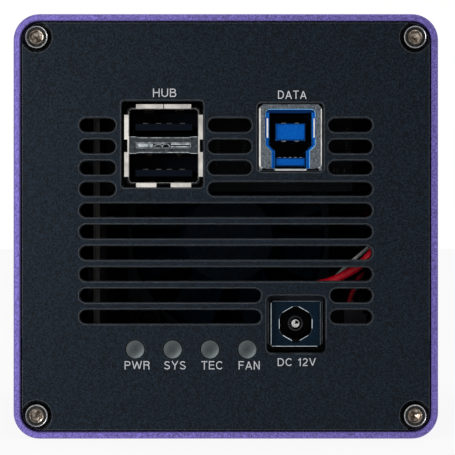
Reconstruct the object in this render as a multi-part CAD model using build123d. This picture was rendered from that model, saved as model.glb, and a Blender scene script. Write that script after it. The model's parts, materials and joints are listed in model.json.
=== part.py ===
from build123d import *

import math
import os

# A cooled astronomy camera: a square purple body with a black rear panel, ports, a fan and a sealed sensor
# chamber. Units are millimetres. The optical axis is Y, the telescope is towards +Y, X is right and Z is up
# when the camera is seen from behind. The origin is the centre of the telescope thread's mouth, and every
# depth below is measured back from that mouth, along -Y.

# ---------------------------------------------------------------- driving dimensions
# Body shell
body_size = 80.0
body_corner_r = 4.9
body_wall = 3.0
rim_wall = 1.25
post_size = 5.6
screw_inset = 4.3
edge_chamfer = 0.2

# Side vents of the shell, beside the heat sink's fins
side_vent_margin = 0.75
side_vent_rows = 12

# Front and rear plates
plate_thickness = 3.0
plate_recess = 0.5
plate_gap = 0.15
pocket_depth = 2.0
pocket_inset = 5.55
pocket_r = 2.75

# M2.5 cap screws
screw_r = 1.25
head_r = 2.25
head_height = 2.5
head_ease = 0.2
socket_af = 2.0
socket_depth = 1.3
socket_lip = 0.35
corner_screw_length = 9.0
screw_runout = 2.0

# Fits: a screw in its hole, a thread, a piece that fills its seat, and a cut past a face
hole_clearance = 0.2
thread_clearance = 0.02
snug_gap = 0.02
overrun = 1.0

# Vent slots of the rear plate
slot_height = 2.6
slot_pitch = 4.02
slot_rows = 10
slot_top_z = 19.12
slot_half_span = 27.63
slot_bar = 1.04
slot_bar_shift = -0.09

# Both ports: how far they stop short of the rear face, and how deep their blocks are
port_recess = 0.3
socket_back = 3.0
contact_t = 0.2

# Hub port: two sockets, one above the other
hub_x = -11.75
hub_z = 15.22
hub_inner_w = 13.04
hub_inner_h = 13.88
hub_corner_r = 0.6
hub_cutout_side_gap = 0.275
hub_cutout_end_gap = 0.315
hub_cutout_left = 0.25
hub_cutout_up = 0.28
hub_cutout_r = 0.6
hub_pipe_h = 3.3
hub_pipe_z = 15.35
hub_divider_sink = 1.2
hub_block_gap = 0.12
hub_tongue_side = 1.12
hub_tongue_t = 1.25
hub_tongue_rise = 1.2
hub_tongue_sink = 1.6
hub_contact_x = (-3.5, -1.0, 1.0, 3.5)
hub_contact_w = 1.0
hub_contact_sink = 2.4
hub_lip = 0.9
hub_side_lip_length = 4.65
hub_side_lip_rise = 3.52
hub_lip_corner = 1.32
hub_top_lip_split = 0.08
hub_bottom_lip_split = 1.35
sheet = 0.3
pipe_gap = 0.05
pipe_sink = 0.1
pipe_end_w = 1.1
pipe_taper = 0.6
pipe_waist = 0.12

# Data port
data_x = 12.21
data_z = 16.79
data_w = 11.9
data_h = 12.5
data_corner = 0.7
data_cutout_side_gap = 0.265
data_cutout_end_gap = 0.2
data_cutout_r = 0.8
data_side_wall = 1.15
data_top_wall = 0.79
data_mouth_waist = -1.49
data_throat_step = 1.075
data_throat_top = -2.54
data_bottom_wall = 0.41
data_liner = 0.75
data_liner_gap = 0.05
data_block_w = 5.6
data_block_t = 3.22
data_block_rise = 1.07
data_block_sink = 0.8
data_foot_t = 1.58
data_foot_drop = 4.6
data_face_t = 0.35
data_leaf_t = 0.15
data_contact_x = (-1.25, 1.25)
data_contact_w = 0.8
data_pin_x = (-2.0, -1.0, 0.0, 1.0, 2.0)
data_pin_w = 0.5
data_contact_sink = 1.6
data_spring_t = 0.25
data_spring_h = 3.7
data_spring_sink = 1.0

# Power jack
jack_x = 13.27
jack_z = -18.5
jack_cutout_side_gap = 0.2
jack_cutout_end_gap = 0.22
jack_cutout_r = 0.9
jack_face_side = 0.55
jack_face_end = 0.8
jack_face_r = 0.4
jack_face_chamfer = 0.25
jack_body_w = 10.6
jack_body_h = 10.3
jack_step = 1.5
jack_sink = 2.5
jack_flats = 6.32
jack_corner_rise = 0.24
jack_lip_t = 0.4
jack_sleeve_t = 0.25
jack_hole_depth = 9.6
jack_pin_r = 1.05
jack_pin_sink = 1.2
jack_pin_chamfer = 0.3
jack_collar_r = 1.6

# Indicator lamps
lamp_middle_x = -6.515
lamp_pitch = 7.05
lamp_count = 4
lamp_drop = 6.15
lamp_r = 1.70
lamp_dome = 0.25
lamp_dome_step = 0.25
lamp_standoff = 1.2
led_w = 1.6
led_h = 1.2
led_t = 0.9

# Boards behind the rear plate
fan_board_gap = 3.6
board_t = 1.6
board_depth = 12.3
board_margin = 1.1
board_side_gap = 0.8
board_screw_length = 5.6
spacer_r = 2.2
spacer_edge = 1.0
port_spacer_gap = 0.55
lamp_spacer_gap = 2.5
jack_spacer_gap = 3.6
jack_spacer_drop = 7.7
main_board_t = 1.2
main_board_x = -24.8
main_board_length = 23.5
main_board_gap = 3.0
groove_depth = 1.0
groove_gap = 0.05
link_w = 4.4
link_t = 3.4
link_gap = 0.6
link_drop = 6.0
link_rise = 2.0

# Fan, 40 mm class
fan_x = 0.5
fan_z = -2.4
fan_size = 40.0
fan_t = 10.0
fan_corner_r = 2.5
fan_hole_inset = 4.0
fan_hole_r = 1.7
fan_wall = 0.7
fan_tip_gap = 0.5
fan_floor_t = 1.4
fan_disc_edge = 0.3
fan_strut_w = 2.2
fan_strut_root = 0.5
fan_strut_turns = (20, 110, 200, 290)
fan_hub_r = 9.7
fan_hub_wall = 0.8
fan_hub_chamfer = 0.9
fan_rotor_sink = 0.4
fan_rotor_gap = 1.2
fan_blades = 7
fan_blade_t = 0.9
fan_blade_root = (42, 8.6, 0.9)
fan_blade_tip = (27, 10.8, 0.8)
fan_blade_edge = 0.3
fan_shaft_r = 1.0
fan_boss_wall = 1.1
fan_boss_gap = 0.4
fan_bearing_r = 2.2
fan_bearing_gap = 0.02
fan_bearing_lift = 0.6
fan_tube_wall = 0.7
fan_tube_gap = 2.6
fan_end_gap = 0.25
fan_screw_r = 1.5
fan_screw_head_r = 2.75
fan_screw_head_h = 1.9
fan_screw_length = 16.0

# Fan motor
yoke_t = 0.7
yoke_gap = 0.2
magnet_t = 1.0
magnet_gap = 0.4
stator_air_gap = 0.8
stator_lift = 1.9
stator_rear_gap = 0.8
pole_w = 1.8
pole_shoe_w = 6.2
pole_shoe_t = 0.9
stator_ring_t = 1.3
coil_w = 0.95
coil_length = 1.0
coil_gap = 0.045
pole_turns = (45, 135, 225, 315)
motor_board_t = 0.8
motor_board_edge = 2.2

# Heat sink and cooler
sink_edge = 1.0
sink_corner_r = 1.0
sink_base_t = 5.0
sink_fin_h = 23.5
sink_fin_t = 1.2
sink_fin_pitch = 4.0
sink_head_gap = 0.9
sink_pedestal = 2.5
sink_pillar = 7.0
cooler_hot = 40.0
cooler_cold = 30.0
cooler_t = 6.5
ceramic_t = 0.9
pellet = 1.6
pellet_margin = 2.5

# Sensor chamber
chamber_gap = 1.0
chamber_wall = 4.0
chamber_corner_r = 4.0
chamber_pocket_r = 5.0
chamber_length = 24.4
gasket_t = 0.8
gasket_edge = 0.5
chamber_screw_inset = 3.3
chamber_floor = 0.5
chamber_screw_spare = 0.5
grommet_r = 1.6
grommet_lip = 0.3

# Sensor
sensor_w = 34.0
sensor_h = 26.0
sensor_t = 2.2
sensor_wall = 2.5
die_w = 23.5
die_h = 15.7
die_t = 0.7
die_sink = 0.2
cover_edge = 1.0
cover_glass_t = 0.7
sensor_board_size = 48.0
sensor_post_inset = 3.5
sensor_screw_length = 5.5
sensor_distance = 17.5
finger_w = 20.0
finger_h = 14.0
finger_gap = 1.0

# Nose and window
thread_r = 20.595
nose_length = 6.5
nose_flange_t = 3.0
nose_flange_r = 35.0
nose_r = 28.0
nose_chamfer = 0.4
nose_screws = 6
nose_screw_turn = 30
nose_screw_sink = 1.6
nose_screw_length = 3.6
head_clearance = 0.25
nose_hole_floor = 0.4
boss_depth = 4.5
window_r = 21.0
window_t = 2.0
window_ledge = 3.0
window_gap = 0.3
retainer_t = 1.3
retainer_gap = 0.1
retainer_edge = 1.8
seal_section_r = 0.75
seal_squeeze = 0.8
seal_inset = 0.2

# Leads, and what they plug into
power_lead_d = 1.6
fan_lead_d = 1.0
sense_lead_d = 0.7
lead_gap = 0.03
ribbon_t = 0.3
ribbon_w = 16.0
ribbon_slit_gap = 0.1
ribbon_pad = 4.0
ribbon_turn_depth = 1.0
ribbon_land = 7.0
ribbon_end = 15.0
red_exit_z = 3.0
black_exit_z = -3.0
sense_exit_z = 9.0
sense_lead_side = 1.3
terminal_red = 0.63
terminal_pitch = 3.7
terminal_w = 2.4
terminal_h = 1.9
terminal_t = 3.0
terminal_gap = 0.3
plug_right = 11.9
plug_rise = 2.3
plug_w = 4.4
plug_h = 3.0
plug_t = 3.9
plug_notch_w = 0.7
plug_notch_h = 0.9
header_margin = 0.5
header_h = 3.6
header_t = 4.6

# ---------------------------------------------------------------- places worked out from them
half = body_size / 2
screw_at = half - screw_inset
opening = body_size - 2 * rim_wall
plate_size = opening - 2 * plate_gap
cavity = body_size - 2 * body_wall
rim_inner_r = body_corner_r - rim_wall

front_rim = nose_length - plate_recess
front_face = front_rim + plate_recess
front_inside = front_face + plate_thickness
boss_end = front_inside + boss_depth
chamber_front = boss_end + gasket_t
chamber_rear = chamber_front + chamber_length
sink_front = chamber_rear + gasket_t
sink_back = sink_front + sink_base_t
fin_tips = sink_back + sink_fin_h
fan_front = fin_tips
fan_rear = fan_front + fan_t
board_front = fan_rear + fan_board_gap
board_rear = board_front + board_t
rear_inside = board_rear + board_depth
rear_face = rear_inside + plate_thickness
rear_rim = rear_face + plate_recess

cooler_rear = sink_front - sink_pedestal
cooler_front = cooler_rear - cooler_t
pellet_t = (cooler_t - 3 * ceramic_t) / 2
cooler_middle = cooler_rear - ceramic_t - pellet_t
die_face = sensor_distance
sensor_front = die_face - die_sink
board_face = sensor_front + sensor_t
sensor_board_rear = board_face + board_t
finger_rear = sensor_board_rear + finger_gap
port_mouth = rear_face - port_recess
socket_rear = board_rear + socket_back
jack_face = rear_face - jack_sink
jack_floor = jack_face - jack_hole_depth
main_left = main_board_x - main_board_t / 2
main_right = main_board_x + main_board_t / 2
main_rear = rear_inside - main_board_gap
main_front = main_rear - main_board_length
window_front = front_face + retainer_t
window_rear = window_front + window_t
seal_height = 2 * seal_section_r * seal_squeeze
nose_flange = nose_length - nose_flange_t

chamber_inner = sensor_board_size + 2 * chamber_gap
chamber_size = chamber_inner + 2 * chamber_wall
chamber_screw_at = chamber_size / 2 - chamber_screw_inset
sensor_post_at = sensor_board_size / 2 - sensor_post_inset
sink_size = chamber_size + 2 * sink_edge
side_space_x = (sink_size + cavity) / 4
side_vent_length = sink_fin_h - 2 * side_vent_margin
window_seat_r = window_r - window_ledge
nose_screw_circle_r = (nose_r + nose_flange_r) / 2

fan_centre = (fan_x, fan_z)
fan_duct_r = fan_size / 2 - fan_wall
fan_tube_r = fan_bearing_r + fan_tube_wall
fan_hole_at = fan_size / 2 - fan_hole_inset
motor_floor = fan_front + fan_floor_t
rotor_rear = fan_rear - fan_rotor_sink
rotor_front = motor_floor + fan_rotor_gap
tube_end = rotor_rear - fan_tube_gap
fan_tip_r = fan_duct_r - fan_tip_gap
yoke_r = fan_hub_r - fan_hub_wall
magnet_r = yoke_r - yoke_t
stator_r = magnet_r - magnet_t - stator_air_gap
stator_front = motor_floor + stator_lift
stator_end = tube_end - stator_rear_gap

corners = [(sx * screw_at, sz * screw_at) for sx in (-1, 1) for sz in (-1, 1)]
fan_holes = [(fan_x + sx * fan_hole_at, fan_z + sz * fan_hole_at) for sx in (-1, 1) for sz in (-1, 1)]
chamber_holes = [(sx * chamber_screw_at, sz * chamber_screw_at) for sx in (-1, 1) for sz in (-1, 1)]
sensor_posts = [(sx * sensor_post_at, sz * sensor_post_at) for sx in (-1, 1) for sz in (-1, 1)]
nose_holes = [(nose_screw_circle_r * math.cos(math.radians(number * 360 / nose_screws + nose_screw_turn)),
               nose_screw_circle_r * math.sin(math.radians(number * 360 / nose_screws + nose_screw_turn)))
              for number in range(nose_screws)]
slot_z = [slot_top_z - row * slot_pitch for row in range(slot_rows)]
lamps = [lamp_middle_x + (number - (lamp_count - 1) / 2) * lamp_pitch for number in range(lamp_count)]
lamp_z = slot_z[-1] - lamp_drop

hub_cutout_w = hub_inner_w + 2 * (hub_lip + hub_cutout_side_gap)
hub_cutout_h = hub_inner_h + 2 * (hub_lip + hub_cutout_end_gap)
hub_cutout_x = hub_x - hub_cutout_left
hub_cutout_z = hub_z + hub_cutout_up
data_cutout_w = data_w + 2 * data_cutout_side_gap
data_cutout_h = data_h + 2 * data_cutout_end_gap
jack_cutout_w = jack_body_w + 2 * jack_cutout_side_gap
jack_cutout_h = jack_body_h + 2 * jack_cutout_end_gap
cutouts = [(hub_cutout_x, hub_cutout_z, hub_cutout_w, hub_cutout_h, hub_cutout_r),
           (data_x, data_z, data_cutout_w, data_cutout_h, data_cutout_r),
           (jack_x, jack_z, jack_cutout_w, jack_cutout_h, jack_cutout_r)]
data_mouth_w = data_w - 2 * data_side_wall
data_mouth_rise = data_h / 2 - data_top_wall
data_mouth_drop = data_h / 2 - data_bottom_wall
hub_tongue_w = hub_inner_w - 2 * hub_tongue_side
jack_mouth_r = jack_flats / 2 + jack_corner_rise

jack_left = jack_x - jack_body_w / 2
jack_right = jack_x + jack_body_w / 2
board_left = main_right + board_side_gap
port_spacer_z = hub_cutout_z + hub_cutout_h / 2 + spacer_r + port_spacer_gap
power_spacer_z = lamp_z - lamp_r - spacer_r - lamp_spacer_gap
hub_cutout_right = hub_cutout_x + hub_cutout_w / 2
data_cutout_left = data_x - data_cutout_w / 2
data_cutout_right = data_x + data_cutout_w / 2
port_spacers = [(board_left + spacer_r + spacer_edge, port_spacer_z),
                ((hub_cutout_right + data_cutout_left) / 2, port_spacer_z),
                (data_cutout_right + spacer_r + spacer_edge, port_spacer_z)]
power_spacers = [(board_left + spacer_r + spacer_edge, power_spacer_z),
                 (jack_x - jack_cutout_w / 2 - spacer_r - jack_spacer_gap, power_spacer_z),
                 (jack_x + jack_cutout_w / 2 + spacer_r + jack_spacer_gap, jack_z - jack_spacer_drop)]

terminal_z = jack_z + (jack_body_h + terminal_h) / 2 + terminal_gap
terminal_x = (jack_x + terminal_red, jack_x + terminal_red + terminal_pitch)
terminal_top = board_rear + terminal_t
plug_x = jack_x + plug_right
plug_top = jack_z + plug_rise
plug_low = plug_top - plug_h
plug_front = board_rear + (header_t - plug_t) / 2
plug_depth = board_rear + header_t / 2
fan_lead_start = fan_front + fan_t / 4
cooler_lead_depth = cooler_rear - ceramic_t - power_lead_d / 2 - lead_gap
sense_lead_depth = (finger_rear + cooler_front) / 2
ribbon_depth = sensor_board_rear + ribbon_t / 2
lead_exits = [(cooler_lead_depth, red_exit_z, power_lead_d), (cooler_lead_depth, black_exit_z, power_lead_d),
              (sense_lead_depth, sense_exit_z, sense_lead_d)]


# ---------------------------------------------------------------- helpers
def slab(profile, start, end):
    """A flat profile, drawn as seen from behind, made solid between two depths."""
    near, far = min(start, end), max(start, end)
    return extrude(Plane.XZ.offset(near) * profile, amount=far - near)


def block(x0, x1, z0, z1, start, end):
    """A box between two X, two Z and two depths."""
    outline = Pos((x0 + x1) / 2, (z0 + z1) / 2) * Rectangle(abs(x1 - x0), abs(z1 - z0))
    return slab(outline, start, end)


def turned(profile, x=0.0, z=0.0):
    """A round solid on an axis along Y through (x, z). The profile lists (radius, depth)."""
    points = [(x + radius, -depth, z) for radius, depth in profile]
    return revolve(make_face(Polyline(*points, close=True)), Axis((x, 0, z), (0, 1, 0)))


def rod(radius, start, end, x=0.0, z=0.0):
    return slab(Pos(x, z) * Circle(radius), start, end)


def ring(outer, inner, start, end, x=0.0, z=0.0):
    return slab(Pos(x, z) * (Circle(outer) - Circle(inner)), start, end)


def cap_screw(x, z, seat, length, facing, radius=screw_r, top_r=head_r, top_h=head_height):
    """A cap screw whose head stands on the depth called seat. Facing 1 points its head to the rear."""
    top = seat + facing * top_h
    tip = seat - facing * length
    body = turned([
        (0, tip), (radius - head_ease, tip), (radius, tip + facing * head_ease), (radius, seat),
        (top_r, seat), (top_r, top - facing * head_ease), (top_r - head_ease, top), (0, top)], x, z)
    across = socket_af * top_r / head_r
    hexagon = Pos(x, z) * RegularPolygon(across / math.sqrt(3), 6)
    lip_r = across / 2 + socket_lip
    lip = turned([(0, top), (lip_r, top), (0, top - facing * lip_r)], x, z)
    return body - slab(hexagon, top, top - facing * socket_depth) - lip


def lead(points, radii, diameter):
    """A round lead along straight runs joined by tangent arcs. Points are (x, depth, z)."""
    path = FilletPolyline(*[(x, -depth, z) for x, depth, z in points], radius=radii)
    section = Plane(origin=path @ 0, z_dir=path % 0) * Circle(diameter / 2)
    tube = sweep(section, path=path)
    expected = path.length * math.pi * diameter ** 2 / 4
    ratio = tube.volume / expected
    print(f"lead {diameter} mm, {path.length:.1f} mm long, volume ratio {ratio:.4f}, radii {radii}")
    return tube


def save(name, *pieces):
    """One STEP file per node. Separate pieces of a node stay separate solids."""
    solids = [solid for piece in pieces for solid in piece.solids()]
    shape = solids[0] if len(solids) == 1 else Compound(solids)
    export_step(shape, f"parts/{name}.step")


def outer_edges(part, depth):
    """Every edge that lies on the plane at a depth."""
    return part.edges().filter_by(lambda edge: abs(edge.bounding_box().min.Y + depth) < 1e-4
                                  and abs(edge.bounding_box().max.Y + depth) < 1e-4)


def rounded(width, height, radius, x=0.0, z=0.0):
    return Pos(x, z) * RectangleRounded(width, height, radius)


# ---------------------------------------------------------------- shell and plates
def body_shell():
    outline = RectangleRounded(body_size, body_size, body_corner_r)
    inside = RectangleRounded(cavity, cavity, rim_inner_r)
    for x, z in corners:
        post_x = math.copysign((cavity - post_size) / 2, x)
        post_z = math.copysign((cavity - post_size) / 2, z)
        inside -= Pos(post_x, post_z) * Rectangle(post_size, post_size)
    rim = RectangleRounded(opening, opening, rim_inner_r)
    shell = slab(outline - inside, front_rim, rear_rim)
    shell -= slab(rim, front_rim, front_inside)
    shell -= slab(rim, rear_inside, rear_rim)
    thread_depth = corner_screw_length - (plate_thickness - pocket_depth) + screw_runout
    for x, z in corners:
        shell -= rod(screw_r + thread_clearance, rear_inside - thread_depth, rear_inside, x, z)
        shell -= rod(screw_r + thread_clearance, front_inside, front_inside + thread_depth, x, z)
    groove = main_board_t + 2 * groove_gap
    for side in (-1, 1):
        edge = side * cavity / 2
        shell -= block(main_board_x - groove / 2, main_board_x + groove / 2, edge - side * overrun,
                       edge + side * groove_depth, main_front - groove_gap, rear_inside)
    vent_middle = (sink_back + fin_tips) / 2
    vent = Pos(-vent_middle, 0) * SlotOverall(side_vent_length, slot_height)
    cut = extrude(Plane.YZ.offset(-half - overrun) * vent, amount=body_size + 2 * overrun)
    first = (side_vent_rows - 1) / 2
    for row in range(side_vent_rows):
        shell -= Pos(0, 0, (row - first) * sink_fin_pitch) * cut
    return chamfer(outer_edges(shell, front_rim) + outer_edges(shell, rear_rim), edge_chamfer)


def plate_blank(face, inside):
    """A plate that drops into the shell's rim, with its corners stepped down under the screw heads."""
    plate = slab(RectangleRounded(plate_size, plate_size, rim_inner_r - plate_gap), face, inside)
    step = face + math.copysign(pocket_depth, inside - face)
    middle = half - pocket_inset / 2
    for x, z in corners:
        corner = Pos(math.copysign(middle, x), math.copysign(middle, z))
        notch = corner * Rectangle(pocket_inset, pocket_inset)
        plate -= slab(notch + Pos(x, z) * Circle(pocket_r), face, step)
        plate -= rod(screw_r + hole_clearance, face, inside, x, z)
    return plate


def slot_runs(z):
    """The stretches of one slot row that the port and jack cut-outs leave between them."""
    reach = slot_height / 2 + slot_bar
    start = -slot_half_span
    runs = []
    for x, middle, width, height, _ in cutouts:
        if abs(z - middle) < height / 2 + reach:
            runs.append((start, x - width / 2 - slot_bar + slot_bar_shift))
            start = x + width / 2 + slot_bar + slot_bar_shift
    return runs + [(start, slot_half_span)]


def vent_profile():
    slots = Sketch()
    for z in slot_z:
        for x0, x1 in slot_runs(z):
            slots += Pos((x0 + x1) / 2, z) * SlotOverall(x1 - x0, slot_height)
    return slots


def rear_plate():
    plate = plate_blank(rear_face, rear_inside)
    cuts = vent_profile()
    for x, z, width, height, radius in cutouts:
        cuts += rounded(width, height, radius, x, z)
    for x in lamps:
        cuts += Pos(x, lamp_z) * Circle(lamp_r + snug_gap)
    plate -= slab(cuts, rear_face, rear_inside)
    plate = chamfer(outer_edges(plate, rear_face), edge_chamfer)
    thread_depth = board_screw_length - board_t + screw_runout
    for x, z in port_spacers + power_spacers:
        plate += rod(spacer_r, board_rear, rear_inside, x, z)
        plate -= rod(screw_r + thread_clearance, board_rear, board_rear + thread_depth, x, z)
    return plate


def front_plate():
    plate = plate_blank(front_face, front_inside)
    plate = chamfer(outer_edges(plate, front_face), edge_chamfer)
    plate += slab(RectangleRounded(chamber_size, chamber_size, chamber_corner_r), front_inside, boss_end)
    for x, z in sensor_posts:
        plate += rod(spacer_r, boss_end, board_face, x, z)
        plate -= rod(screw_r + thread_clearance, boss_end, board_face, x, z)
    for x, z in chamber_holes:
        plate -= rod(screw_r + thread_clearance, front_inside + chamber_floor, boss_end, x, z)
    plate -= rod(window_seat_r, front_face, boss_end)
    plate -= rod(window_r + window_gap, front_face, window_rear + seal_height)
    for x, z in nose_holes:
        plate -= rod(screw_r + thread_clearance, front_face, front_inside - nose_hole_floor, x, z)
    return plate


def corner_screws(face, facing):
    seat = face - facing * pocket_depth
    return [cap_screw(x, z, seat, corner_screw_length, facing) for x, z in corners]


# ---------------------------------------------------------------- hub port
def hub_shell():
    width, height = hub_inner_w + 2 * sheet, hub_inner_h + 2 * sheet
    outer = rounded(width, height, hub_corner_r, hub_x, hub_z)
    inner = rounded(hub_inner_w, hub_inner_h, hub_corner_r - sheet, hub_x, hub_z)
    shell = slab(outer - inner, board_rear, port_mouth)
    for side in (-1, 1):
        z = hub_pipe_z + side * hub_pipe_h / 2
        shell += block(hub_x - hub_inner_w / 2, hub_x + hub_inner_w / 2, z, z - side * sheet,
                       board_rear, port_mouth - hub_divider_sink)
    left, right = hub_x - width / 2, hub_x + width / 2
    top, bottom = hub_z + height / 2, hub_z - height / 2
    lips = []
    reach = hub_lip - sheet
    for side in (-1, 1):
        middle = hub_z + side * hub_side_lip_rise
        low, high = middle - hub_side_lip_length / 2, middle + hub_side_lip_length / 2
        lips.append((left - reach, left, low, high))
        lips.append((right, right + reach, low, high))
        outer_x = hub_x + side * (hub_inner_w / 2 - hub_lip_corner)
        lips.append((hub_x + side * hub_top_lip_split, outer_x, top, top + reach))
        lips.append((hub_x + side * hub_bottom_lip_split, outer_x, bottom - reach, bottom))
    for x0, x1, z0, z1 in lips:
        shell += block(x0, x1, z0, z1, port_mouth - sheet, port_mouth)
    return shell


def hub_tongues():
    """Height of the underside of each tongue, upper socket first."""
    floors = (hub_pipe_z + hub_pipe_h / 2, hub_z - hub_inner_h / 2)
    return [floor + hub_tongue_rise for floor in floors]


def hub_insulator():
    half_w = hub_inner_w / 2 - hub_block_gap
    spans = ((hub_pipe_z + hub_pipe_h / 2 + hub_block_gap, hub_z + hub_inner_h / 2 - hub_block_gap),
             (hub_z - hub_inner_h / 2 + hub_block_gap, hub_pipe_z - hub_pipe_h / 2 - hub_block_gap))
    pieces = []
    for (z0, z1), tongue in zip(spans, hub_tongues()):
        piece = block(hub_x - half_w, hub_x + half_w, z0, z1, board_rear, socket_rear)
        piece += block(hub_x - hub_tongue_w / 2, hub_x + hub_tongue_w / 2, tongue, tongue + hub_tongue_t,
                       socket_rear, port_mouth - hub_tongue_sink)
        pieces.append(piece)
    return pieces


def hub_contacts():
    pieces = []
    for tongue in hub_tongues():
        top = tongue + hub_tongue_t
        for across in hub_contact_x:
            x = hub_x + across
            pieces.append(block(x - hub_contact_w / 2, x + hub_contact_w / 2, top, top + contact_t,
                                socket_rear, port_mouth - hub_contact_sink))
    return pieces


def hub_light_pipe():
    """A clear bar between the two sockets, deeper at its ends than in its middle."""
    end = hub_inner_w / 2 - pipe_gap
    shoulder = end - pipe_end_w
    inner = shoulder - pipe_taper
    high = hub_pipe_h / 2 - snug_gap
    low = high - pipe_waist
    half_h = hub_pipe_h / 2 - sheet - pipe_gap
    face_front = port_mouth - hub_divider_sink + pipe_gap
    upper = [(-end, high), (-shoulder, high), (-inner, low), (inner, low), (shoulder, high), (end, high)]
    lower = [(x, -z) for x, z in reversed(upper)]
    face = Pos(hub_x, hub_pipe_z) * make_face(Polyline(*(upper + lower), close=True))
    bar = block(hub_x - end, hub_x + end, hub_pipe_z - half_h, hub_pipe_z + half_h, board_rear, face_front)
    return bar + slab(face, face_front, port_mouth - pipe_sink)


# ---------------------------------------------------------------- data port
def data_outline(shrink=0.0):
    side, end, cut = data_w / 2 - shrink, data_h / 2 - shrink, data_corner
    return Pos(data_x, data_z) * make_face(Polyline(
        (-side, -end), (side, -end), (side, end - cut), (side - cut, end),
        (-side + cut, end), (-side, end - cut), close=True))


def data_mouth(shrink=0.0):
    """A wide upper chamber with a tapered throat below it."""
    wide = data_mouth_w / 2 - shrink
    narrow = wide - data_throat_step
    top = data_mouth_rise - shrink
    return Pos(data_x, data_z) * make_face(Polyline(
        (-narrow, -data_mouth_drop), (-narrow, data_throat_top), (-wide, data_mouth_waist),
        (-wide, top), (wide, top), (wide, data_mouth_waist),
        (narrow, data_throat_top), (narrow, -data_mouth_drop), close=True))


def data_shell():
    shell = slab(data_outline() - data_outline(data_face_t), board_rear, port_mouth)
    return shell + slab(data_outline() - data_mouth(), port_mouth - data_face_t, port_mouth)


def data_tongues():
    """Lower and upper faces of the main tongue and of the foot under it."""
    tongue = data_z + data_block_rise - data_block_t / 2
    foot = data_z - data_foot_drop - data_foot_t / 2
    return [(tongue, tongue + data_block_t), (foot, foot + data_foot_t)]


def data_insulator():
    body = slab(data_outline(data_face_t + data_liner_gap), board_rear, port_mouth - data_face_t)
    body -= slab(data_mouth(data_liner), socket_rear, port_mouth)
    for z0, z1 in data_tongues():
        body += block(data_x - data_block_w / 2, data_x + data_block_w / 2, z0, z1,
                      socket_rear, port_mouth - data_block_sink)
    return body


def data_contacts():
    """Leaves over and under the main tongue, pins on the foot and a spring on each side wall."""
    end = port_mouth - data_contact_sink
    (under, over), (_, foot_top) = data_tongues()
    pieces = []
    for across in data_contact_x:
        x0, x1 = data_x + across - data_contact_w / 2, data_x + across + data_contact_w / 2
        pieces.append(block(x0, x1, over, over + data_leaf_t, socket_rear, end))
        pieces.append(block(x0, x1, under - data_leaf_t, under, socket_rear, end))
    for across in data_pin_x:
        x0, x1 = data_x + across - data_pin_w / 2, data_x + across + data_pin_w / 2
        pieces.append(block(x0, x1, foot_top, foot_top + data_leaf_t, socket_rear, end))
    for side in (-1, 1):
        wall = data_x + side * (data_mouth_w / 2 - data_liner)
        pieces.append(block(wall - side * data_spring_t, wall, data_z, data_z + data_spring_h,
                            socket_rear, port_mouth - data_spring_sink))
    return pieces


# ---------------------------------------------------------------- power jack
def jack_bore(grow=0.0):
    hexagon = Rot(0, 0, 30) * RegularPolygon((jack_flats / 2 + grow) * 2 / math.sqrt(3), 6)
    return Pos(jack_x, jack_z) * (hexagon & Circle(jack_mouth_r + grow))


def jack_body():
    step = jack_face - jack_step
    face_w, face_h = jack_body_w - 2 * jack_face_side, jack_body_h - 2 * jack_face_end
    body = slab(rounded(face_w, face_h, jack_face_r, jack_x, jack_z), step, jack_face)
    body = chamfer(outer_edges(body, jack_face), jack_face_chamfer)
    body += slab(rounded(jack_body_w, jack_body_h, jack_face_r, jack_x, jack_z), board_rear, step)
    body -= slab(jack_bore(jack_sleeve_t), jack_floor, jack_face - jack_lip_t)
    body -= slab(jack_bore(), jack_face - jack_lip_t, jack_face)
    return body - rod(jack_collar_r, board_rear, jack_floor, jack_x, jack_z)


def jack_sleeve():
    profile = jack_bore(jack_sleeve_t - snug_gap) - jack_bore()
    return slab(profile, jack_floor, jack_face - jack_lip_t - snug_gap)


def jack_pin():
    tip = jack_face - jack_pin_sink
    collar_r = jack_collar_r - snug_gap
    return turned([(0, board_rear), (collar_r, board_rear), (collar_r, jack_floor), (jack_pin_r, jack_floor),
                   (jack_pin_r, tip - jack_pin_chamfer), (jack_pin_r - jack_pin_chamfer, tip), (0, tip)],
                  jack_x, jack_z)


# ---------------------------------------------------------------- lamps and boards
def lamp_pipes():
    """Clear rods from the lamps to the rear face, each with a low dome that stands proud of it."""
    dome = rear_face + lamp_dome
    profile = [(0, board_rear + lamp_standoff), (lamp_r, board_rear + lamp_standoff), (lamp_r, rear_face),
               (lamp_r - lamp_dome_step, rear_face + lamp_dome / 2),
               (lamp_r - 3 * lamp_dome_step, dome), (0, dome)]
    return [turned(profile, x, lamp_z) for x in lamps]


def lamp_leds():
    return [block(x - led_w / 2, x + led_w / 2, lamp_z - led_h / 2, lamp_z + led_h / 2, board_rear,
                  board_rear + led_t) for x in lamps]


def drilled(board, places):
    for x, z in places:
        board -= rod(screw_r + hole_clearance, board_front, board_rear, x, z)
    return board


def port_board():
    right = port_spacers[-1][0] + spacer_r + board_margin
    low = hub_z - hub_inner_h / 2 - sheet - board_margin
    high = port_spacer_z + spacer_r + board_margin
    return drilled(block(board_left, right, low, high, board_front, board_rear), port_spacers)


def power_board():
    low = power_spacer_z - spacer_r - board_margin
    board = block(board_left, jack_right, low, lamp_z + lamp_r + board_margin, board_front, board_rear)
    board += block(jack_left - board_margin, jack_right + board_margin, low,
                   terminal_z + board_margin, board_front, board_rear)
    board += block(jack_right, plug_x + plug_w / 2 + board_margin, low, plug_top + board_margin,
                   board_front, board_rear)
    return drilled(board, power_spacers)


def main_board():
    tall = cavity / 2 + groove_depth - groove_gap
    return block(main_left, main_right, -tall, tall, main_front, main_rear)


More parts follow.
